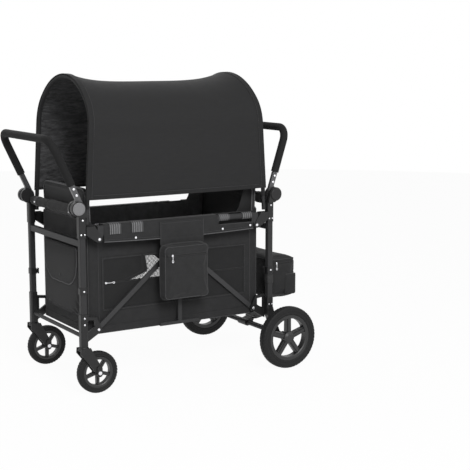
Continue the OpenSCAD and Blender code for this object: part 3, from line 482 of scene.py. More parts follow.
def threads(tree, place, normal, pitch):
    """Over and under of a plain weave on whichever way the cloth faces, from -1 to 1."""
    parts = split(tree, vector_node(tree, "SCALE", place, pitch, "Scale")[0])
    facing = split(tree, normal)
    wave = [sum_node(tree, "SINE", part) for part in parts]
    total = None
    for i in range(3):
        pair = sum_node(tree, "MULTIPLY", wave[(i + 1) % 3], wave[(i + 2) % 3])
        share = sum_node(tree, "MULTIPLY", pair, sum_node(tree, "ABSOLUTE", facing[i]))
        total = share if total is None else sum_node(tree, "ADD", total, share)
    return total


def make_weave():
    tree, ins, outs = group("Woven cloth", [
        ("Colour", "Color", (0.03, 0.03, 0.03, 1)), ("Light thread", "Color", (0.06, 0.06, 0.06, 1)),
        ("Threads", "Float", 5000.0), ("Mottle", "Float", 40.0), ("Creases", "Float", 0.4),
        ("Streaks", "Vector", (1, 1, 1))])
    place = tree.nodes.new("ShaderNodeTexCoord")
    weave = threads(tree, place.outputs["Object"], place.outputs["Normal"], ins["Threads"])
    streaked = vector_node(tree, "MULTIPLY", place.outputs["Object"], ins["Streaks"])[0]
    mottle = cloud(tree, streaked, ins["Mottle"], 5, 0.65)
    crease = cloud(tree, place.outputs["Object"], 9.0, 2)
    fleck = cloud(tree, place.outputs["Object"], 900.0, 1)
    share = sum_node(tree, "MULTIPLY_ADD", weave, 0.22, stretch(tree, mottle, 0.3, 0.75))
    share = sum_node(tree, "MULTIPLY_ADD", stretch(tree, fleck, 0.45, 0.7), 0.25, share)
    share = sum_node(tree, "MULTIPLY", share, 0.6)
    folds = sum_node(tree, "MULTIPLY", crease, ins["Creases"])
    return give(tree, outs, Colour=blend_colour(tree, share, ins["Colour"], ins["Light thread"]),
                Roughness=stretch(tree, mottle, 0.2, 0.8, 0.68, 0.9),
                Height=sum_node(tree, "MULTIPLY_ADD", weave, 0.18, folds))


def make_grain():
    tree, ins, outs = group("Moulded grain", [
        ("Colour", "Color", (0.02, 0.02, 0.02, 1)), ("Scuffed", "Color", (0.08, 0.08, 0.08, 1)),
        ("Grain", "Float", 1400.0), ("Gloss", "Float", 0.45)])
    place = object_place(tree)
    grain = cloud(tree, place, ins["Grain"], 2)
    patches = cloud(tree, place, 22.0, 6, 0.7)
    scuff = sum_node(tree, "MULTIPLY", stretch(tree, patches, 0.6, 0.82), 0.5)
    return give(tree, outs, Colour=blend_colour(tree, scuff, ins["Colour"], ins["Scuffed"]),
                Roughness=sum_node(tree, "MULTIPLY_ADD", grain, 0.16, ins["Gloss"]), Height=grain)


def make_paint():
    tree, ins, outs = group("Powder paint", [
        ("Colour", "Color", (0.03, 0.03, 0.03, 1)), ("Rubbed", "Color", (0.2, 0.2, 0.2, 1)),
        ("Rub", "Float", 0.3), ("Gloss", "Float", 0.36)])
    place = object_place(tree)
    peel = cloud(tree, place, 650.0, 2)
    rub = sum_node(tree, "MULTIPLY", stretch(tree, cloud(tree, place, 30.0, 8, 0.75), 0.62, 0.8),
                   ins["Rub"])
    return give(tree, outs, Colour=blend_colour(tree, rub, ins["Colour"], ins["Rubbed"]),
                Roughness=sum_node(tree, "MULTIPLY_ADD", peel, 0.12, ins["Gloss"]), Height=peel)


# Ribbed tape: the valleys between the ribs take the darker groove colour, shade painted into the grooves; a cloud
# dims the ribs at random as wear.
def make_ribs():
    tree, ins, outs = group("Ribbed tape", [
        ("Colour", "Color", (0.1, 0.1, 0.1, 1)), ("Groove shade", "Color", (0.02, 0.02, 0.02, 1)),
        ("Across", "Vector", (1, 0, 0)), ("Ribs", "Float", 2000.0)])
    place = object_place(tree)
    along = vector_node(tree, "DOT_PRODUCT", place, ins["Across"])["Value"]
    wave = sum_node(tree, "SINE", sum_node(tree, "MULTIPLY", along, ins["Ribs"]))
    worn = cloud(tree, place, 260.0, 4, 0.7)
    high = stretch(tree, wave, -1, 1)
    share = sum_node(tree, "MULTIPLY", high, stretch(tree, worn, 0.25, 0.7, 0.35, 1))
    return give(tree, outs, Colour=blend_colour(tree, share, ins["Groove shade"], ins["Colour"]),
                Roughness=stretch(tree, worn, 0.2, 0.8, 0.6, 0.85), Height=high)


def make_net():
    tree, ins, outs = group("Open net", [("Holes", "Float", 2000.0), ("Open", "Float", 0.2)],
                            [("Cover", "Float"), ("Height", "Float")])
    parts = split(tree, object_place(tree))
    across = sum_node(tree, "MULTIPLY", parts["X"], ins["Holes"])
    up = sum_node(tree, "MULTIPLY", parts["Z"], ins["Holes"])
    first = sum_node(tree, "SINE", sum_node(tree, "ADD", across, up))
    second = sum_node(tree, "SINE", sum_node(tree, "SUBTRACT", across, up))
    size = sum_node(tree, "ABSOLUTE", sum_node(tree, "MULTIPLY", first, second))
    return give(tree, outs, Cover=sum_node(tree, "LESS_THAN", size, ins["Open"]), Height=size)


GROUPS = {"weave": make_weave(), "grain": make_grain(), "paint": make_paint(), "ribs": make_ribs(),
          "net": make_net()}


def finish(name, kind, bump, values, **sockets):
    """A material on one of the shared groups; sockets are plain values on the shader itself."""
    material = bpy.data.materials.new(name)
    material.use_nodes = True
    tree = material.node_tree
    shader = tree.nodes["Principled BSDF"]
    for label, value in sockets.items():
        shader.inputs[label.replace("_", " ")].default_value = value
    effect = tree.nodes.new("ShaderNodeGroup")
    effect.node_tree = GROUPS[kind]
    for label, value in values.items():
        effect.inputs[label].default_value = value
    for output, socket in (("Colour", "Base Color"), ("Roughness", "Roughness"), ("Cover", "Alpha")):
        if output in effect.outputs:
            tree.links.new(effect.outputs[output], shader.inputs[socket])
    relief = tree.nodes.new("ShaderNodeBump")
    relief.inputs["Strength"].default_value = bump[0]
    relief.inputs["Distance"].default_value = bump[1] * MM
    tree.links.new(effect.outputs["Height"], relief.inputs["Height"])
    tree.links.new(relief.outputs["Normal"], shader.inputs["Normal"])
    return material


def grey(level):
    return (level, level, level * 1.03, 1)


def cloth(name, bump, dark, light, fine, mottle, creases, streaks=(1, 1, 1), **sockets):
    return finish(name, "weave", bump, {
        "Colour": grey(dark), "Light thread": grey(light), "Threads": fine, "Mottle": mottle,
        "Creases": creases, "Streaks": streaks}, **sockets)


def ribbed(name, bump, colour, groove_shade, across, ribs):
    return finish(name, "ribs", bump, {
        "Colour": grey(colour), "Groove shade": grey(groove_shade), "Across": across, "Ribs": ribs})


def moulded(name, bump, colour, scuffed, grain, gloss, **sockets):
    return finish(name, "grain", bump, {
        "Colour": grey(colour), "Scuffed": grey(scuffed), "Grain": grain, "Gloss": gloss}, **sockets)


def painted(name, bump, colour, rubbed, rub, gloss, **sockets):
    return finish(name, "paint", bump, {
        "Colour": grey(colour), "Rubbed": grey(rubbed), "Rub": rub, "Gloss": gloss}, **sockets)


SOFT = {"Sheen_Weight": 0.06, "Sheen_Roughness": 0.5, "Specular_IOR_Level": 0.2}
CLOTH = cloth("charcoal_cloth", (0.5, 0.5), 0.0155, 0.034, 4200.0, 30.0, 0.5, **{**SOFT, "Sheen_Weight": 0.08})
COVER_CLOTH = cloth("window_cover_cloth", (0.4, 0.5), 0.010, 0.024, 4600.0, 24.0, 0.6, **SOFT)
CANOPY_CLOTH = cloth("canopy_cloth", (0.35, 0.4), 0.0135, 0.025, 5600.0, 60.0, 0.7, (0.4, 0.4, 1.6),
                     **{**SOFT, "Sheen_Roughness": 0.45})
# The canopy lining's dark grey is its own; its bright mottled threads are painted light, standing in for light
# that comes through the canopy cloth.
CANOPY_LINING_PAINTED_LIGHT = cloth("canopy_lining", (0.5, 0.5), 0.012, 0.16, 2400.0, 70.0, 0.6, (0.45, 0.45, 1.7),
                     Specular_IOR_Level=0.2)
BINDING = cloth("binding_tape", (0.5, 0.4), 0.032, 0.075, 3600.0, 90.0, 0.2,
                Sheen_Weight=0.1, Sheen_Roughness=0.4, Specular_IOR_Level=0.25)
# The piping's pale grey is partly its own tone and partly a painted highlight along the cord.
PALE_PIPING_AND_HIGHLIGHT = cloth("light_piping", (0.4, 0.3), 0.07, 0.15, 3600.0, 90.0, 0.2,
               Sheen_Weight=0.15, Sheen_Roughness=0.4, Specular_IOR_Level=0.3)
LINING = cloth("quilted_lining", (0.5, 0.5), 0.020, 0.045, 3600.0, 40.0, 0.5, **SOFT)
# The wall lining's pale grey is its own dark grey lightened well past the seats' lining: painted light, standing
# in for fill light inside the tub.
WALL_LINING_WITH_PAINTED_FILL = cloth("wall_lining", (0.5, 0.5), 0.16, 0.32, 3600.0, 40.0, 0.6, **SOFT)
THREAD = cloth("sewing_thread", (0.3, 0.2), 0.05, 0.11, 9000.0, 300.0, 0.0)
# In the ribbed finishes below, the second grey is painted shade in the grooves between the ribs.
WEBBING = ribbed("ribbed_webbing", (0.6, 0.6), 0.22, 0.015, (1, 0, 0), 620.0)
STRAPPING = ribbed("black_strapping", (0.5, 0.4), 0.030, 0.008, (0, 0, 1), 2400.0)
NET = finish("window_net", "net", (0.3, 0.2), {"Holes": 1500.0, "Open": 0.30}, Base_Color=grey(0.03),
             Roughness=0.8)
FOAM = moulded("grip_foam", (0.7, 0.6), 0.010, 0.022, 700.0, 0.72, Specular_IOR_Level=0.2)
PLASTIC = moulded("moulded_plastic", (0.25, 0.25), 0.012, 0.035, 1500.0, 0.34, Specular_IOR_Level=0.35)
RIM_PLASTIC = moulded("rim_plastic", (0.25, 0.25), 0.015, 0.035, 1200.0, 0.32)
RUBBER = moulded("tyre_rubber", (0.5, 0.5), 0.009, 0.022, 500.0, 0.55, Specular_IOR_Level=0.25)
FRAME_PAINT = painted("frame_paint", (0.12, 0.2), 0.038, 0.10, 0.35, 0.34, Specular_IOR_Level=0.12)
BAR_PAINT = painted("bar_paint", (0.12, 0.2), 0.045, 0.12, 0.4, 0.32, Metallic=0.1, Specular_IOR_Level=0.2)
HANDLE_PAINT = painted("handle_paint", (0.12, 0.2), 0.10, 0.25, 0.4, 0.24, Metallic=0.5)
STEEL = painted("bright_steel", (0.08, 0.1), 0.85, 0.6, 0.4, 0.22, Metallic=0.85)
# The knob's second grey is painted shade in the grooves of its cross-hatching.
GREY_KNOB = ribbed("grey_knob", (0.8, 0.5), 0.36, 0.09, (0.7, 0, 0.7), 2600.0)

SLOT_FINISH = {"frame_paint": FRAME_PAINT, "bar_aluminium": BAR_PAINT, "handle_aluminium": HANDLE_PAINT,
               "black_plastic": PLASTIC, "rim_plastic": RIM_PLASTIC, "button_black": PLASTIC,
               "button_grey": GREY_KNOB, "tyre": RUBBER, "grip_foam": FOAM, "wrap_fabric": CLOTH,
               "rivet_steel": STEEL, "fabric": CLOTH}


def dress(piece, material):
    """Gives a new piece its finish."""
    piece.data.materials.clear()
    piece.data.materials.append(material)
    return piece


def dress_frame():
    """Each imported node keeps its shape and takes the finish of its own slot."""
    slots = {row["node"]: row["material_slot"] for row in frame["record"]["subparts"]}
    for name, node in frame["nodes"].items():
        node.data.materials.clear()
        node.data.materials.append(SLOT_FINISH[slots[name]])


# What a soft piece is drawn to in the fold, and the share of its length that is left
BAND_END = 362
TUB_FOLD = (tuple(at(-418, 0, 450)), 0.26)
BAND_FOLD = (tuple(at(-BAND_END, 0, 690)), 0.151)
CANOPY_FOLD = (tuple(at(-433, 0, 1000)), 0.29)
FRONT_SEAT_FOLD = (tuple(at(-367, 0, 300)), 0.17)
REAR_SEAT_FOLD = (tuple(at(367, 0, 300)), 0.17)


def fit(piece, body, material=None, folds=None):
    """Finishes a piece: its material and the body it moves with; a piece given folds gets a mesh of its own."""
    if material:
        dress(piece, material)
    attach(piece, body)
    if folds:
        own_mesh(piece)
    return piece


def ease(t):
    """A soft step from 0 to 1."""
    t = min(1, max(0, t))
    return t * t * (3 - 2 * t)


# ---------------------------------------------------------------- canopy

HOOP_HALF, SHOULDER, SPRING, RIDGE, HEM = 263, 152, 1098, 1301, 808
LEAN = math.radians(3.5)
RISE = (RIDGE - SPRING) / math.cos(LEAN)
CROWN = (HOOP_HALF ** 2 + RISE ** 2 - 2 * HOOP_HALF * SHOULDER) / (2 * (RISE - SHOULDER))
TURN = math.atan2(CROWN - RISE, HOOP_HALF - SHOULDER)
HOOP_FOOT, FOOT_HEIGHT = 430, 726
OVERHANG, HOOP_LINE, RIDGE_SAG, FAR_SAG = 8.5, 0.956, 34, 12
# How far the canopy's layers lie from the hoop's middle line
TAPE_LAYER, LINING_LAYER, CLOTH_LAYER = 8.2, 9.0, 10.4
HEM_LAYER, HEM_STITCH_LAYER, BINDING_LAYER, STITCH_LAYER = 11.1, 11.8, 11.2, 11.9


def hoop_reach(z):
    """How far a leaning hoop is from the wagon's middle at a height."""
    return HOOP_FOOT - (z - FOOT_HEIGHT) * math.tan(LEAN)


def arch(s, grow):
    """Across and up on the canopy's arch, s from -1 at one hem over the ridge to 1 at the other."""
    leg = SPRING - HEM
    a = (SHOULDER + grow) * TURN
    b = (CROWN + grow) * (math.pi / 2 - TURN)
    q = (1 - abs(s)) * (leg + a + b)
    side = -1 if s < 0 else 1
    if q <= leg:
        return side * (HOOP_HALF + grow), HEM + q
    if q <= leg + a:
        t = (q - leg) / (SHOULDER + grow)
        return (side * (HOOP_HALF - SHOULDER + (SHOULDER + grow) * math.cos(t)),
                SPRING + (SHOULDER + grow) * math.sin(t))
    t = TURN + (q - leg - a) / (CROWN + grow)
    return side * (CROWN + grow) * math.cos(t), RIDGE - CROWN + (CROWN + grow) * math.sin(t)


def over_hoops(t, s, grow):
    """A place on the canopy, t from -1 at the front hoop to 1 at the rear one."""
    y, z = arch(s, grow)
    slack = max(0, 1 - (t / HOOP_LINE) ** 4)
    up = max(z - SPRING, 0) / (RIDGE - SPRING)
    reach = hoop_reach(z) + OVERHANG
    down = max(SPRING - z, 0) / (SPRING - HEM)
    ripple = slack * noise.noise(Vector((t * 3.1, s * 5.3, 4))) * (2.4 - 1.6 * down)
    hang = 1 + slack * (0.034 * ease(1.6 * down) - 0.02 * (1 - ease(1.6 * down)))
    sag = RIDGE_SAG * slack * up ** 0.8 + (FAR_SAG * down if y > 0 else 0)
    return t * reach, (y + math.copysign(ripple, y)) * hang, z - sag


def hoop_sleeve(end, way):
    """The dark sleeve that holds a hoop in the canopy's end, down to the hoop's feet."""
    near, far = ([(side * HOOP_HALF, z) for z in (772, 784, 796)] for side in (-1, 1))
    path = near + [arch(s, 0) for s in spread(-1, 1, 96)] + far[::-1]
    return cording(f"canopy_{end}_sleeve", [(way * hoop_reach(z), y, z) for y, z in path], 9.4)


def make_canopy():
    top = flowing(sheet("canopy_sheet", 60, 120, lambda u, v: over_hoops(2 * u - 1, 2 * v - 1, CLOTH_LAYER)))
    fit(top, "front_frame", CANOPY_CLOTH, folds=CANOPY_FOLD)
    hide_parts("canopy")
    inside = sheet("canopy_lining", 60, 120,
                   lambda u, v: over_hoops(0.985 * (2 * u - 1), 0.985 * (2 * v - 1), LINING_LAYER))
    trims = [(flowing(inside), CANOPY_LINING_PAINTED_LIGHT)]
    for end, way in ENDS.items():
        trim = tidy(sheet(f"canopy_{end}_binding", 3, 120,
                          lambda u, v: over_hoops(way * (1 - 0.058 * u), 2 * v - 1, BINDING_LAYER)))
        lip = cording(f"canopy_{end}_lip", [over_hoops(way, s, CLOTH_LAYER) for s in spread(-1, 1, 80)], 1.7)
        seam = stitches(f"canopy_{end}_stitching",
                        [over_hoops(way * 0.947, s, STITCH_LAYER) for s in spread(-1, 1, 160)], 0.6)
        trims += [(smooth(thicken(trim, 0.9)), COVER_CLOTH), (lip, COVER_CLOTH), (seam, THREAD)]
        fit(hoop_sleeve(end, way), f"{end}_frame", COVER_CLOTH)
    for side, way in SIDES.items():
        hem = sheet(f"canopy_{side}_hem", 60, 3,
                    lambda u, v: over_hoops(2 * u - 1, way * (1 - 0.03 * v), HEM_LAYER))
        seam = stitches(f"canopy_{side}_hem_stitching",
                        [over_hoops(0.93 * t, way * 0.974, HEM_STITCH_LAYER) for t in spread(-1, 1, 60)], 0.6)
        tape = sheet(f"canopy_{side}_inner_tape", 60, 3,
                     lambda u, v: over_hoops((2 * u - 1) * 0.93, way * (0.52 + 0.03 * v), TAPE_LAYER))
        trims += [(smooth(thicken(hem, 0.9)), COVER_CLOTH), (seam, THREAD), (smooth(thicken(tape, 0.8)), BINDING)]
    for trim, material in trims:
        fit(trim, "front_frame", material, folds=CANOPY_FOLD)
    bow = [arch(s, CLOTH_LAYER) for s in spread(-1, 1, 200)]
    length = sum(math.dist(a, b) for a, b in zip(bow, bow[1:]))


# ---------------------------------------------------------------- tub with its bands and windows

WINDOW = {"reach": 346, "low": 338, "high": 553}
NET_SEAM, TAPE_LAP, COVER_LAP = 8, 7, 5
TUB_REACH, WALL_FACE, WALL_CORNER = 417, 230.4, 16
TUB_FLOOR, END_TOP, SIDE_TOP = 260, 715, 700
SKIRT_LOW, SKIRT_DEEP = 240, 30
ZIP_HEIGHT, FLAP_SIDE, FLAP_BEND = 451, -43, 490


def round_wall(u, half_x, half_y, radius):
    """A place along the tub's outline, u from 0 to 1."""
    straight_x, straight_y = 2 * (half_x - radius), 2 * (half_y - radius)
    bend = math.pi * radius / 2
    run = u * 2 * (straight_x + straight_y + 2 * bend)
    x, y, turn = -half_x + radius, -half_y, 0.0
    for length in (straight_x, bend, straight_y, bend) * 2:
        part = min(run, length)
        if length == bend:
            t = part / radius
            cx, cy = x - radius * math.sin(turn), y + radius * math.cos(turn)
            x = cx + radius * math.sin(turn + t)
            y = cy - radius * math.cos(turn + t)
            turn += t
        else:
            x += part * math.cos(turn)
            y += part * math.sin(turn)
        run -= part
        if run <= 0:
            break
    return x, y


def wall_top(x):
    """The wall's top, which rises from the sides to the ends."""
    return SIDE_TOP + (END_TOP - SIDE_TOP) * ease((abs(x) - 384) / 20)


def tub_wall(u, v):
    x, y = round_wall(u, TUB_REACH, WALL_FACE, WALL_CORNER)
    return x, y, TUB_FLOOR + v * (wall_top(x) - TUB_FLOOR)


def in_window(place):
    return abs(place.y) > 215 and abs(place.x) < WINDOW["reach"] and WINDOW["low"] < place.z < WINDOW["high"]


def make_tub():
    body = tidy(sheet("tub_walls", 260, 34, tub_wall))
    ruffle(body, 70, 3.2, lambda p: min(1, max(0, (p.z - 262) / 60), max(0, (wall_top(p.x) - p.z) / 50))
           * (0.2 if abs(p.y) > 225 else 0.8))
    choose(body, "FACE", lambda p, n: in_window(p))
    bpy.ops.mesh.delete(type="FACE")
    choose(body, "EDGE", lambda p, d: p.z < 261 and abs(d.z) < 0.2)
    bpy.ops.mesh.edge_face_add()
    done()
    pieces = [dress(smooth(thicken(tidy(body), 2.6, -1), 50), CLOTH)]
    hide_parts("tub")
    for side, way in SIDES.items():
        net = sheet(f"{side}_window_net", 40, 16, lambda u, v: (
            (2 * u - 1) * (WINDOW["reach"] + NET_SEAM),
            way * (228.4 - 2.5 * math.sin(math.pi * u) * math.sin(math.pi * v)),
            WINDOW["low"] - NET_SEAM + v * (WINDOW["high"] - WINDOW["low"] + 2 * NET_SEAM)))
        pieces.append(dress(net, NET))
        low, high = sorted((way * 231.2, way * 232.8))
        tape = block(f"{side}_window_binding", (-WINDOW["reach"] - TAPE_LAP, low, WINDOW["low"] - TAPE_LAP),
                     (WINDOW["reach"] + TAPE_LAP, high, WINDOW["high"] + TAPE_LAP))
        choose(tape, "FACE", lambda p, n: abs(n.y) > 0.9)
        bpy.ops.mesh.inset(thickness=10 * MM)
        bpy.ops.mesh.bridge_edge_loops()
        done()
        soften(tape, 0.6, 2, every)
        work(tape, "SUBSURF", subdivision_type="SIMPLE", levels=3, render_levels=3)
        pieces.append(dress(smooth(tape), CLOTH))
        middle = (WINDOW["low"] + WINDOW["high"]) / 2
        outline = [(a, way * 233.0, middle + b) for a, b in rounded_path(348.5, 110, 4, 2, 20)]
        pieces.append(dress(stitches(f"{side}_window_stitching", outline + outline[:1]), THREAD))
        for end, x in (("front", -368), ("rear", 376)):
            seam = cording(f"{side}_{end}_wall_seam", [(x, way * 231.0, z) for z in spread(266, 692, 24)], 1.4)
            pieces.append(dress(seam, BINDING))
        for piece in make_band(side, way):
            fit(piece, "front_frame", folds=BAND_FOLD)
        pieces += [make_wall_lining(side, way), make_wing(side, way)]
    pieces += make_window_cover()
    skirt = tidy(sheet("tub_skirt", 260, 4,
                       lambda u, v: (*round_wall(u, TUB_REACH + 1.2, 231.8, 17), SKIRT_LOW + SKIRT_DEEP * v)))
    ruffle(skirt, 30, 0.8)
    outline = [(*round_wall(i / 160, TUB_REACH + 1.6, 232.2, 17), 241) for i in range(160)]
    foot = cording("tub_foot_piping", outline, 1.9, closed=True)
    pieces += [dress(smooth(thicken(skirt, 1.4)), CLOTH), dress(foot, BINDING)]
    for end, way in ENDS.items():
        lip = cording(f"{end}_wall_piping", [(way * 415.8, y, END_TOP + 0.4) for y in spread(-214, 214, 30)], 3.0)
        pieces.append(dress(lip, BINDING))
        for side, across in SIDES.items():
            seam = cording(f"{end}_{side}_corner_piping",
                           [(way * 412.6, across * 226.4, z) for z in spread(266, 712, 24)], 1.9)
            pieces.append(dress(seam, BINDING))
    for piece in pieces:
        fit(piece, "front_frame", folds=TUB_FOLD)


# Along the wagon: the seams between the panels of a wall's lining
PANELS = (-378, -285, -62, -8, 160, 396)
LINING_LOW, WING_LOW = 566, 688


def wing_top(x):
    """The top of a wall's lining, which rises in one soft step to a wing beside the rear seat back."""
    return 703 + 112 * ease((x - 304) / 58) + 1.2 * math.sin(x / 9) * ease((x - 20) / 30)


def drawn_in(x):
    """How far the lining is drawn in towards the rear seat back."""
    return 14 * ease((x - 330) / 66)


def make_wing(side, way):
    """The outer cloth of a wing, above the rail."""
    def lay(u, v):
        x = 303 + 92 * u
        y = 228.6 - drawn_in(x) + 1.5 * math.sin(v * 2 + 9 * u) * v
        return x, way * y, WING_LOW + (wing_top(x) + 0.6 - WING_LOW) * v

    wing = flowing(sheet(f"{side}_wing", 40, 16, lay))
    return dress(wing, COVER_CLOTH)


def make_wall_lining(side, way):
    """The quilted panels inside a wall."""
    def lay(u, v):
        x = PANELS[0] + (PANELS[-1] - PANELS[0]) * u
        low, high = [(a, b) for a, b in zip(PANELS, PANELS[1:]) if a <= x <= b][0]
        puff = 5.5 * math.sqrt(abs(math.sin(math.pi * (x - low) / (high - low)) * math.sin(math.pi * v)))
        return x, way * (227.2 - puff - drawn_in(x)), LINING_LOW + (wing_top(x) - LINING_LOW) * v

    lining = flowing(sheet(f"{side}_wall_lining", 190, 20, lay))
    return dress(lining, WALL_LINING_WITH_PAINTED_FILL)


def flap_edge(z):
    """How far back the unzipped corner of the near window's cover reaches at a height."""
    if z < FLAP_BEND:
        return -222 + 82 * ease((z - ZIP_HEIGHT) / (FLAP_BEND - ZIP_HEIGHT))
    return -140 - 11 * (z - FLAP_BEND) / 61


def make_window_cover():
    """The cloth over the near window: zipped along its middle, with one corner turned back."""
    reach, low, high = WINDOW["reach"] + COVER_LAP, WINDOW["low"] - COVER_LAP, WINDOW["high"] + COVER_LAP

    def skin(x, z):
        return x, -230.0 + 0.9 * noise.noise(Vector((x / 55, z / 45, 7))), z

    def upper(v):
        return ZIP_HEIGHT + (high - ZIP_HEIGHT) * v

    below = sheet("cover_below", 110, 20, lambda u, v: skin(reach * (2 * u - 1), low + (ZIP_HEIGHT - low) * v))
    front = sheet("cover_front", 40, 20,
                  lambda u, v: skin(-reach + (flap_edge(upper(v)) + reach) * u, upper(v)))
    rear = sheet("cover_rear", 60, 20, lambda u, v: skin(FLAP_SIDE + (reach - FLAP_SIDE) * u, upper(v)))
    cover = flowing(tidy(join("near_window_cover", [below, front, rear])))
    flap = flowing(sheet("near_window_flap", 12, 20, lambda u, v: (
        flap_edge(upper(v * 0.96)) - 34 * u * (1 - 0.35 * v), -231.4 - 3.2 * math.sin(math.pi * min(1, 1.15 * u)),
        upper(v * 0.96) + 5 * u)))
    heights = [upper(i / 24) for i in range(24)]
    roll = cording("near_window_flap_roll", [(flap_edge(z), -231.2, z) for z in heights], 2.2)
    upright = cording("near_window_cover_edge", [(FLAP_SIDE, -231.0, upper(i / 12)) for i in range(12)], 1.8)
    pieces = [dress(cover, COVER_CLOTH), dress(flap, COVER_CLOTH), dress(roll, BINDING), dress(upright, BINDING)]
    pieces += zipper("near_window_zip", line((-342, -231, ZIP_HEIGHT), (342, -231, ZIP_HEIGHT)), (0, -1, 0), 8)
    pull = puller("near_window_pull", (-334, -231.6, ZIP_HEIGHT), (0, -1, 0), 48, (1, 0, 0))
    return pieces + [dress(pull, STEEL)]


# Along the wagon: the middles of the webbing loops, and the cut-out that shows the rail
LOOPS = (-311.5, -209.5, 216, 332)
CUTOUT = (181, 356)
CUTOUT_LOW, BAND_FACE = 662, 282.4
RAIL_ACROSS, RAIL_HEIGHT = 267, 690.4
# Across and up: how a loop lies over the band in front of the cut-out
OVER_BAND = ((250, 707), (262, 707.2), (274, 706.8), (281.4, 703), (284, 695), (284.4, 685), (284.4, 674),
             (284.4, 663))
SNAPS = ((204, 643), (-218, 640), (346, 648))


def band_profile(v, x):
    """The band from the tub's wall over the rail and down to its hem, v from 0 to 1."""
    droop = 633 - 7 * (1 - (x / BAND_END) ** 2)
    path = [(229.5, 684), (230.5, 700), (236, 705.2), (256, 705.6), (275, 705.2), (281.2, 700), (282.3, 690),
            (282.3, 668), (282.3, 650), (BAND_FACE, droop)]
    run = [math.dist(a, b) for a, b in zip(path, path[1:])]
    left = v * sum(run)
    for (a, b), length in zip(zip(path, path[1:]), run):
        if left <= length:
            return a[0] + (b[0] - a[0]) * left / length, a[1] + (b[1] - a[1]) * left / length
        left -= length
    return path[-1]


def make_band(side, way):
    """The band over a rail, with its trims, webbing loops and press studs."""
    def lay(u, v):
        x = (2 * u - 1) * BAND_END
        y, z = band_profile(v, x)
        return x, way * y, z

    band = sheet(f"{side}_rail_band", 145, 48, lay)
    a, b = CUTOUT
    choose(band, "FACE", lambda p, n: a < p.x < b and abs(p.y) > 244 and p.z > CUTOUT_LOW)
    bpy.ops.mesh.delete(type="FACE")
    done()
    ruffle(band, 45, 1.0, lambda p: 1 if abs(p.y) > 281 else 0)
    pieces = [dress(smooth(thicken(band, 1.6, -way), 50), CLOTH)]
    hem = cording(f"{side}_band_hem", [(x, way * 282.6, band_profile(1, x)[1])
                                       for x in spread(-BAND_END, BAND_END, 60)], 1.9)
    edge = [(a, z) for z in (703, 690, 676, CUTOUT_LOW)]
    edge += [(x, CUTOUT_LOW) for x in spread(a, b, 12)[1:-1]]
    edge += [(b, z) for z in (CUTOUT_LOW, 676, 690, 703)]
    rim = cording(f"{side}_cutout_binding", [(x, way * BAND_FACE, z) for x, z in edge], 1.8)
    row = stitches(f"{side}_band_stitching", [(x, way * 283.2, band_profile(1, x)[1] + 9)
                                              for x in spread(-358, 358, 60)])
    pieces += [dress(hem, PALE_PIPING_AND_HIGHLIGHT), dress(rim, BINDING), dress(row, THREAD)]
    round_rail = [(RAIL_ACROSS + 14.2 * math.sin(t), RAIL_HEIGHT + 14.6 * math.cos(t))
                  for t in map(math.radians, spread(-100, 170, 24))]
    for number, middle in enumerate(LOOPS, 1):
        turn = [(middle, way * y, z) for y, z in (OVER_BAND if middle < 0 else round_rail)]
        loop = strap(f"{side}_rail_loop_{number}", turn, (1, 0, 0), 50, 1.4)
        pieces.append(dress(loop, WEBBING))
    x, z = SNAPS[0]
    stud = snap(f"{side}_band_snap_1", (x, way * 282.6, z), (0, way, 0), 4.8)
    studs = [stud] + [again(stud, f"{side}_band_snap_{n}", shift(x2 - x, 0, z2 - z))
                      for n, (x2, z2) in enumerate(SNAPS[1:], 2)]
    pieces += [dress(piece, STEEL) for piece in studs]
    return pieces


def snap(name, place, way, radius):
    """A press stud: a turned disc with a rounded rim and a dimple."""
    way = Vector(way).normalized()
    base = Vector(place)
    piece = round_bar(name, base, base + way * 2.2, radius, 24)
    middle = base + way * 2.2
    choose(piece, "FACE", lambda p, n: n.dot(way) > 0.9)
    bpy.ops.mesh.inset(thickness=radius * 0.45 * MM)
    bpy.ops.transform.translate(value=way * 0.6 * MM)
    bpy.ops.mesh.inset(thickness=radius * 0.25 * MM)
    bpy.ops.transform.translate(value=-way * 0.5 * MM)
    done()
    soften(piece, 0.5, 2, lambda p, d: abs((p - middle).dot(way)) < 0.3 and (p - middle).length > radius * 0.8)
    return smooth(piece, 50)


# ---------------------------------------------------------------- seats

SEAT_LEAN, LEAN_HEIGHT = math.tan(math.radians(2.5)), 716
BACK_HALF, BACK_LOW, BACK_HIGH, CUSHION_MIDDLE = 220, 274, 848, -217
AWAY = 99  # a distance at which nothing is sewn


def lean_back(piece):
    """Leans a front seat's piece with its back, about the height of the tub's end wall."""
    for corner in piece.data.vertices:
        corner.co.x += (LEAN_HEIGHT * MM - corner.co.z) * SEAT_LEAN
    piece.data.update()
    return piece


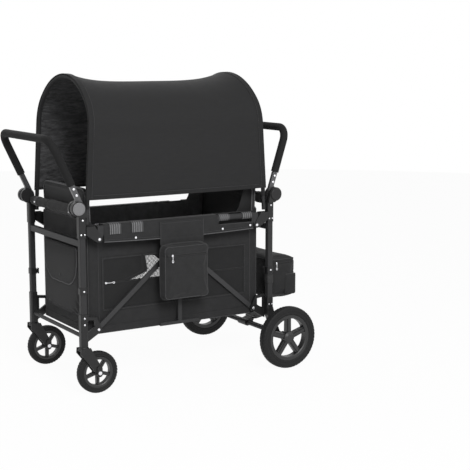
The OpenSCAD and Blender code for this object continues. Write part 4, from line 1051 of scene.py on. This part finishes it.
def make_seats():
    back = block("front_seat_back_pad", (-410.5, -BACK_HALF, BACK_LOW), (-391.5, BACK_HALF, BACK_HIGH))
    soften(back, 44, 8, lambda p, d: abs(d.x) > 0.9)
    plump(back, 6, 4, held=lambda p: abs(abs(p.y) - BACK_HALF) < 6 or not BACK_LOW + 6 <= p.z <= BACK_HIGH - 6)
    rows = (420, 535, 650, 765)
    sew(back, 3.0, 6, lambda p: min(abs(p.z - z) for z in rows) if abs(p.y) < 196 else AWAY)
    sew(back, 2.2, 4, lambda p: min(abs(abs(p.y) - 204), abs(p.z - 832)))
    pieces = []
    for number, x in enumerate((-410, -392), 1):
        edge = [(x, a, (BACK_LOW + BACK_HIGH) / 2 + b) for a, b in rounded_path(219, 286, 44)]
        # The seat backs' piping takes the pale piping finish, part of it a painted highlight.
        pipe = cording(f"front_seat_back_piping_{number}", on_skin(back, edge, 0.8), 2.6, closed=True)
        pieces.append((lean_back(pipe), "front_frame", PALE_PIPING_AND_HIGHLIGHT, None))
    pieces.insert(0, (lean_back(back), "front_frame", LINING, "front_seat_back"))
    for piece, _, material, node in list(pieces):
        copy = again(piece, piece.name.replace("front", "rear"), mirror("X"))
        pieces.append((copy, "rear_frame", material, node and node.replace("front", "rear")))
    for piece, body, material, node in pieces:
        fit(piece, body, material)
        if node:
            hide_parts(node)
    cushion = block("front_seat_pad", (-363, -214, 269), (-71, 214, 316))
    soften(cushion, 16, 4, every)
    plump(cushion, 7, 8, held=lambda p: p.z < 270.5)
    sew(cushion, 4.5, 7, lambda p: min(abs(p.y), abs(p.x - CUSHION_MIDDLE)) if p.z > 290 else AWAY)
    edge = [(CUSHION_MIDDLE + a, b, 304) for a, b in rounded_path(147.5, 216.5, 18)]
    pipe = cording("front_seat_pad_piping", edge, 2.4, closed=True)
    for piece, material in ((cushion, LINING), (pipe, BINDING)):
        copy = again(piece, piece.name.replace("front", "rear"), mirror("X"))
        fit(piece, "front_frame", material, folds=FRONT_SEAT_FOLD)
        fit(copy, "rear_frame", material, folds=REAR_SEAT_FOLD)
        if piece is cushion:
            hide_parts("front_seat_cushion")
            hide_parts("rear_seat_cushion")
    mat = block("tub_floor_mat", (-410, -222, 262.4), (410, 222, 267.4))
    choose(mat, "FACE", every)
    bpy.ops.mesh.subdivide(number_cuts=40)
    done()
    sew(mat, 1.6, 5, lambda p: min(abs(p.x), abs(abs(p.x) - 205)) if p.z > 266 else AWAY)
    fit(smooth(mat), "front_frame", LINING, folds=TUB_FOLD)
    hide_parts("floor_mat")


# ---------------------------------------------------------------- pockets and bags

def puller(name, place, way, length, fall=(0, 0, -1)):
    """A zip slider with its drop-shaped pull, on a panel that faces way, the pull lying along fall."""
    way, fall = Vector(way).normalized(), Vector(fall).normalized()
    side = way.cross(fall).normalized()
    base = Vector(place)
    low = base - side * 4 - fall * 5
    high = base + side * 4 + fall * 5 + way * 4
    slider = block(name + "_slider", list(map(min, low, high)), list(map(max, low, high)))
    soften(slider, 1.2, 2, every)
    hang = base + way * 4.5
    ring = [hang + side * 3.6 * math.sin(t) + fall * (length * 0.72 - 4.6 * math.cos(t))
            for t in spread(0, 2 * math.pi, 20)[:-1]]
    eye = cording(name + "_ring", ring, 1.3, closed=True)
    path = [hang - fall, hang + fall * length * 0.3, hang + fall * (length * 0.72 - 4.6)]
    stem = cording(name + "_stem", path, 1.5)
    return smooth(join(name, [slider, eye, stem]), 50)


def zipper(name, path, way, wide=9):
    """A zip along points: its tape, and two rows of teeth."""
    way = Vector(way).normalized()
    side = way.cross(Vector(path[-1]) - Vector(path[0])).normalized()
    tape = strap(name + "_tape", path, side, wide, 0.8)
    total, reach = walk(path)
    count = int(total / 3.2)
    teeth = []
    for i in range(count):
        for lane, offset in ((-1, 0.0), (1, 0.5)):
            middle = reach(total * (i + 0.25 + offset) / count) + side * lane * 0.9 + way * 0.7
            teeth.append((middle - side * 1.6, middle + side * 1.6))
    return [dress(tape, STRAPPING), dress(drawn(name + "_teeth", teeth, 0.8, 0), PLASTIC)]


def draped_edge(half, top, low, radius):
    """Down one side of a flap, round its low corners and up the other, as pairs."""
    bend = spread(0, math.pi / 2, 8)
    path = [(-half, z) for z in spread(top, low + radius, 8)[:-1]]
    path += [(-half + radius - radius * math.cos(t), low + radius - radius * math.sin(t)) for t in bend]
    path += [(y, low) for y in spread(-half + radius, half - radius, 20)[1:-1]]
    path += [(half - radius + radius * math.sin(t), low + radius - radius * math.cos(t)) for t in bend]
    return path + [(half, z) for z in spread(low + radius, top, 8)[1:]]


POCKET_HALF, POCKET_LOW, POCKET_BEND = 190, 306, 55
FLAP_HALF, FLAP_LOW, FLAP_CURVE = 168, 428, 100


def make_front_pocket():
    body = block("front_pocket_bag", (-430, -POCKET_HALF, POCKET_LOW), (-418.6, POCKET_HALF, 600))
    soften(body, POCKET_BEND, 8, lambda p, d: abs(d.x) > 0.9 and p.z < 320)
    soften(body, 5, 3, lambda p, d: abs(d.x) < 0.2 and p.x < -427)
    plump(body, 6, 5, held=lambda p: p.x > -420.5)
    flap = block("front_pocket_flap", (-438, -FLAP_HALF, FLAP_LOW), (-433.8, FLAP_HALF, 602))
    soften(flap, FLAP_CURVE, 12, lambda p, d: abs(d.x) > 0.9 and p.z < 440)
    soften(flap, 8, 3, lambda p, d: abs(d.x) > 0.9 and p.z > 590)
    plump(flap, 3.5, 1.6)
    edge = [(-437, a, b) for a, b in draped_edge(FLAP_HALF, 598, FLAP_LOW, FLAP_CURVE)]
    pipe = cording("front_pocket_flap_piping", on_skin(flap, edge, 0.6), 2.8)
    edge = [(-441, a, b) for a, b in draped_edge(157, 594, 440, 90)]
    row = stitches("front_pocket_flap_stitching", on_skin(flap, edge))
    edge = [(-432, a, b) for a, b in draped_edge(POCKET_HALF, 596, POCKET_LOW, POCKET_BEND)]
    seam = cording("front_pocket_piping", on_skin(body, edge), 2.2)
    stud = snap("front_pocket_snap", on_skin(flap, [(-444, 0, 462)], -0.4)[0], (-1, 0, 0), 5)
    for piece, material in ((body, CLOTH), (flap, CLOTH), (pipe, PALE_PIPING_AND_HIGHLIGHT), (seam, BINDING), (row, THREAD)):
        fit(piece, "front_frame", material)
    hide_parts("front_pocket")
    fit(stud, "front_frame", PLASTIC)


POUCH_LOW, POUCH_HIGH, POUCH_ZIP = 362, 600, 556


def make_pouch():
    body = block("side_pouch_bag", (-111, -328, POUCH_LOW), (111, -290, POUCH_HIGH))
    soften(body, 24, 6, lambda p, d: abs(d.y) > 0.9)
    soften(body, 8, 3, lambda p, d: abs(d.y) < 0.2 and p.y < -321)
    plump(body, 5, 6, held=lambda p: p.y > -292)
    sew(body, 2.4, 4, lambda p: abs(p.z - 552) if p.y < -300 else AWAY)
    panel = sheet("side_pouch_hanger", 24, 24, lambda u, v: (
        (2 * u - 1) * 104, -286.2 - 1.2 * math.sin(math.pi * v) - (2 * (1 - v) if v < 0.3 else 0), 590 + v * 107))
    smooth(thicken(panel, 2.0))
    hook = block("side_pouch_hook_strip", (-87, -285.4, 675), (87, -283.4, 693))
    soften(hook, 0.5, 2, every)
    pieces = [(panel, CLOTH), (hook, STRAPPING)]
    for end, way in ENDS.items():
        pipe = cording(f"side_pouch_hanger_{end}_piping",
                       [(way * 103.5, -287.6, z) for z in spread(600, 696, 12)], 1.8)
        pieces.append((pipe, BINDING))
    row = stitches("side_pouch_hanger_stitching", [(x, -287.5, 690) for x in spread(-98, 98, 20)])
    pieces.append((row, THREAD))
    for number, (y, half) in enumerate(((-330, 108), (-292, 112.5)), 1):
        edge = [(a, y, (POUCH_LOW + POUCH_HIGH) / 2 + b) for a, b in rounded_path(half, half + 8, 26)]
        pipe = cording(f"side_pouch_piping_{number}", on_skin(body, edge), 2.0, closed=True)
        pieces.append((pipe, BINDING))
    path = on_skin(body, line((-98, -340, POUCH_ZIP), (98, -340, POUCH_ZIP)))
    pull = puller("side_pouch_pull", path[3], (0, -1, 0), 34)
    for piece in zipper("side_pouch_zip", path, (0, -1, 0)):
        fit(piece, "centre")
    fit(body, "centre", CLOTH)
    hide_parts("side_pouch")
    for piece, material in pieces:
        fit(piece, "centre", material)
    fit(pull, "centre", STEEL)


BAG_ZIP, BAG_MIDDLE, STRAP_HEIGHT = 458, 554.5, 395


def make_bag():
    body = block("cooler_bag_body", (478, -233, 295), (631, 233, 475))
    soften(body, 16, 5, lambda p, d: abs(d.z) > 0.9)
    soften(body, 13, 4, lambda p, d: abs(d.z) < 0.2 and p.z > 472)
    soften(body, 10, 3, lambda p, d: abs(d.z) < 0.2 and p.z < 300)
    plump(body, 6, 6, held=lambda p: p.x < 484)
    ruffle(body, 60, 2.5)
    for corner in body.data.vertices:
        place = spot(corner.co)
        if place.z > 466:
            corner.co.z += 7 * MM * max(0, 1 - ((place.x - 553.5) / 77) ** 2) * max(0, 1 - (place.y / 236) ** 2)
    sew(body, 2.2, 3, lambda p: abs(p.z - BAG_ZIP))
    sew(body, 1.6, 3, lambda p: abs(p.z - 408) if p.x > 556 else AWAY)
    pieces = [(body, CLOTH)]
    for name, z, half in (("brim", 471, 75), ("foot", 301, 74)):
        edge = [(BAG_MIDDLE + a, b, z) for a, b in rounded_path(half, half + 157, 18)]
        pipe = cording(f"cooler_bag_{name}_piping", on_skin(body, edge), 2.2, closed=True)
        pieces.append((pipe, BINDING))
    for side, way in SIDES.items():
        low, high = sorted((way * 231, way * 243))
        pocket = block(f"cooler_bag_{side}_pocket", (560, low, 302), (624, high, 403))
        soften(pocket, 7, 3, lambda p, d: abs(d.y) < 0.2 or abs(d.y) > 0.9)
        plump(pocket, 5, 5)
        pieces.append((pocket, CLOTH))
        path = on_skin(pocket, line((564, way * 246, 402), (620, way * 246, 402), 12))
        pieces.append((cording(f"cooler_bag_{side}_pocket_rim", path, 2.2), BINDING))
        ring = [(456 + a, way * 267 + b, STRAP_HEIGHT) for a, b in rounded_path(14.6, 15.6, 6, 4, 3)]
        tail = [(473.5, way * y, STRAP_HEIGHT) for y in (280, 262, 244, 226, 206)]
        for name, path in (("strap", ring + ring[:1]), ("strap_tail", tail)):
            pieces.append((strap(f"cooler_bag_{side}_{name}", path, (0, 0, 1), 38, 1.6), STRAPPING))
    path = on_skin(body, line((496, -245, BAG_ZIP), (612, -245, BAG_ZIP)))
    pull = puller("cooler_bag_pull", path[5], (0, -1, 0), 34)
    back = on_skin(body, line((643, -208, BAG_ZIP), (643, 208, BAG_ZIP)))
    for piece in zipper("cooler_bag_zip", path, (0, -1, 0)) + zipper("cooler_bag_back_zip", back, (1, 0, 0)):
        fit(piece, "rear_frame")
    for piece, material in pieces:
        fit(piece, "rear_frame", material)
    fit(pull, "rear_frame", STEEL)
    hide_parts("cooler_bag")


# ---------------------------------------------------------------- wraps, rivets and tyres

BAR_REACH, BAR_HEIGHT, BAR_HALF, WRAP_HALF = 453, 757, 247.6, 244


def wrap_radius(y):
    """The wrap of a top bar: doubled over on its near half, and drawn in at its ends."""
    return 20.0 + 3.6 * ease((46 - y) / 12) - 8 * ease((abs(y) - 230) / 14)


def make_bar_wraps():
    for end, way in ENDS.items():
        def around(u, v):
            y, t = -WRAP_HALF + 2 * WRAP_HALF * v, 2 * math.pi * u
            r = wrap_radius(y) + 0.8 * noise.noise(Vector((1.4 * math.cos(t), y / 30, way + 1.4 * math.sin(t))))
            return way * BAR_REACH + r * math.cos(t), y, BAR_HEIGHT + r * math.sin(t)

        wrap = tidy(sheet(f"{end}_bar_wrap", 40, 110, around))
        fit(smooth(wrap, 60), f"{end}_frame", COVER_CLOTH)
        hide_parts(f"{end}_top_bar")
        near, far = ((way * BAR_REACH, y, BAR_HEIGHT) for y in (-BAR_HALF, BAR_HALF))
        core = round_bar(f"{end}_bar_core", near, far, 10)
        soften(core, 1, 2, lambda p, d: abs(p.y) > 247)
        fit(smooth(core), f"{end}_frame", FRAME_PAINT)
        ring = [(way * BAR_REACH + 24.2 * math.cos(t), 43, BAR_HEIGHT + 24.2 * math.sin(t))
                for t in spread(0, 2 * math.pi, 32)[:-1]]
        seam = cording(f"{end}_wrap_edge", ring, 1.4, closed=True)
        fit(seam, f"{end}_frame", BINDING)
        row = stitches(f"{end}_wrap_stitching", [(way * (BAR_REACH + 0.96 * wrap_radius(y)), y, BAR_HEIGHT - 7)
                                                 for y in range(-224, 30, 6)], 0.6)
        fit(row, f"{end}_frame", THREAD)
        for number, y in enumerate((-196, 176), 1):
            r = wrap_radius(y) + 1.4
            turn = [(way * (BAR_REACH + r * math.cos(t)), y, BAR_HEIGHT + r * math.sin(t))
                    for t in map(math.radians, spread(-120, 130, 24))]
            tab = strap(f"{end}_wrap_tab_{number}", turn, (0, 1, 0), 30, 1.2)
            fit(tab, f"{end}_frame", BINDING)
            stud = snap(f"{end}_wrap_snap_{number}", (way * (BAR_REACH + r), y, BAR_HEIGHT), (way, 0, 0), 4.6)
            fit(stud, f"{end}_frame", STEEL)


# Along and up: the handles' hinges, and on a handle: its bracket's offset and the rivets' heights
HINGE_REACH, HINGE_HEIGHT, BRACKET = 476, 778, 21.5
RIVETS = (49, 78)


def make_handle_rivets():
    """Bright rivet heads over the ends of the rivets that hold the handle brackets."""
    for end, way, angle in (("front", -1, 25), ("rear", 1, 18)):
        t = math.radians(angle)
        (x, z), (x2, z2) = [(way * (HINGE_REACH - BRACKET * math.cos(t) + u * math.sin(t)),
                             HINGE_HEIGHT + BRACKET * math.sin(t) + u * math.cos(t)) for u in RIVETS]
        first = snap(f"{end}_handle_near_rivet_1", (x, -274.9, z), (0, -1, 0), 5.2)
        second = again(first, f"{end}_handle_near_rivet_2", shift(x2 - x, 0, z2 - z))
        far = [again(piece, piece.name.replace("near", "far"), mirror("Y")) for piece in (first, second)]
        for piece in [first, second] + far:
            fit(piece, f"{end}_handle", STEEL)


def tyre_section(width, seat, radius):
    """The tyre cut through, as pairs of across and out: beads, ringed walls, shoulders and a grooved tread."""
    side = [(0.78, 0.0), (0.90, 0.06), (0.95, 0.16), (0.95, 0.28), (0.905, 0.33), (0.905, 0.38), (0.975, 0.43),
            (1.0, 0.54), (1.0, 0.64), (0.955, 0.69), (0.955, 0.73), (0.985, 0.78), (0.93, 0.88), (0.80, 0.945),
            (0.62, 0.975), (0.40, 0.985), (0.37, 0.93), (0.27, 0.93), (0.24, 0.995), (0.08, 1.0)]
    whole = side + [(-a, b) for a, b in reversed(side)]
    return [(a * width / 2, seat + b * (radius - seat)) for a, b in whole]


# End, hub along and across, radius, width, radius of the bead seat, tread blocks
TYRES = (("front", -398, 267, 89, 32, 66.3, 40), ("rear", 493.4, 364, 140, 42, 103.3, 54))


def make_tyres():
    for end, x, y, radius, width, seat, blocks in TYRES:
        outline = tyre_section(width - 0.4, seat, radius - 0.2)
        outline.append(outline[0])

        def turn(u, v):
            across, out = outline[round(v * (len(outline) - 1))]
            t = 2 * math.pi * u
            if out > seat + 0.86 * (radius - seat) and abs(across) > 0.3 * width:
                out -= 1.6 * ease((math.sin(blocks * t + 0.16 * across) - 0.55) / 0.3)
            return x + out * math.cos(t), -y + across, radius + out * math.sin(t)

        near = tidy(sheet(f"near_{end}_tyre", blocks * 6, len(outline) - 1, turn))
        far = again(smooth(near, 40), f"far_{end}_tyre", mirror("Y"))
        for piece, side in ((near, "left"), (far, "right")):
            fit(piece, f"{end}_wheel_{side}", RUBBER)
            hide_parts(f"{end}_tyre_{side}")


# ---------------------------------------------------------------- camera, light and floor

def set_camera():
    data = bpy.data.cameras.new("photo_camera")
    data.lens = 88.52
    data.sensor_width = 36
    camera = bpy.data.objects.new("photo_camera", data)
    camera.location = at(-2375.6, -4520.4, 1397.0)
    camera.rotation_euler = (math.radians(81.05), 0, math.radians(-31.95))
    scene.collection.objects.link(camera)
    scene.camera = camera


def area_light(name, place, aim, size, power):
    data = bpy.data.lights.new(name, "AREA")
    data.shape = "RECTANGLE"
    data.size, data.size_y = size
    data.energy = power
    lamp = bpy.data.objects.new(name, data)
    lamp.location = place
    lamp.rotation_euler = (Vector(aim) - Vector(place)).to_track_quat("-Z", "Y").to_euler()
    scene.collection.objects.link(lamp)


def seen_directly(tree):
    """One where a ray comes from the camera, a mirror or a clear surface."""
    path = tree.nodes.new("ShaderNodeLightPath")
    first = sum_node(tree, "MAXIMUM", path.outputs["Is Camera Ray"], path.outputs["Is Glossy Ray"])
    return sum_node(tree, "MAXIMUM", first, path.outputs["Is Transmission Ray"])


AMBIENT, BACKDROP, FLOOR_GLOW = 0.2, 1.0, 0.96


def set_studio():
    """A white room: plain light on the wagon, and a floor that keeps its shadow."""
    scene.view_settings.view_transform = "Standard"
    world = bpy.data.worlds.new("studio")
    scene.world = world
    world.use_nodes = True
    tree = world.node_tree
    back = tree.nodes["Background"]
    back.inputs["Color"].default_value = (1, 1, 1, 1)
    level = stretch(tree, seen_directly(tree), 0, 1, AMBIENT, BACKDROP)
    tree.links.new(level, back.inputs["Strength"])
    area_light("key", (-1.0, -4.2, 3.3), (0, 0, 0.6), (1.8, 1.8), 190)
    area_light("fill", (2.8, -2.2, 2.2), (0, 0, 0.6), (1.6, 2.2), 8)
    area_light("rim", (-0.6, 3.0, 3.2), (0, 0, 0.7), (2.6, 1.2), 26)
    clear()
    bpy.ops.mesh.primitive_circle_add(vertices=64, radius=9, fill_type="NGON", location=(0, 0, -0.0005))
    floor = bpy.context.object
    floor.name = "floor"
    paint = bpy.data.materials.new("floor_white")
    paint.use_nodes = True
    tree = paint.node_tree
    shader = tree.nodes["Principled BSDF"]
    shader.inputs["Base Color"].default_value = (0.95, 0.95, 0.95, 1)
    shader.inputs["Roughness"].default_value = 0.9
    glow = tree.nodes.new("ShaderNodeEmission")
    mix = tree.nodes.new("ShaderNodeMixShader")
    tree.links.new(sum_node(tree, "MULTIPLY", seen_directly(tree), FLOOR_GLOW), mix.inputs["Fac"])
    tree.links.new(shader.outputs[0], mix.inputs[1])
    tree.links.new(glow.outputs[0], mix.inputs[2])
    tree.links.new(mix.outputs[0], tree.nodes["Material Output"].inputs["Surface"])
    floor.data.materials.append(paint)


# ---------------------------------------------------------------- the wagon

set_camera()
set_studio()
dress_frame()
make_canopy()
make_tub()
make_seats()
make_front_pocket()
make_pouch()
make_bag()
make_bar_wraps()
make_handle_rivets()
make_tyres()
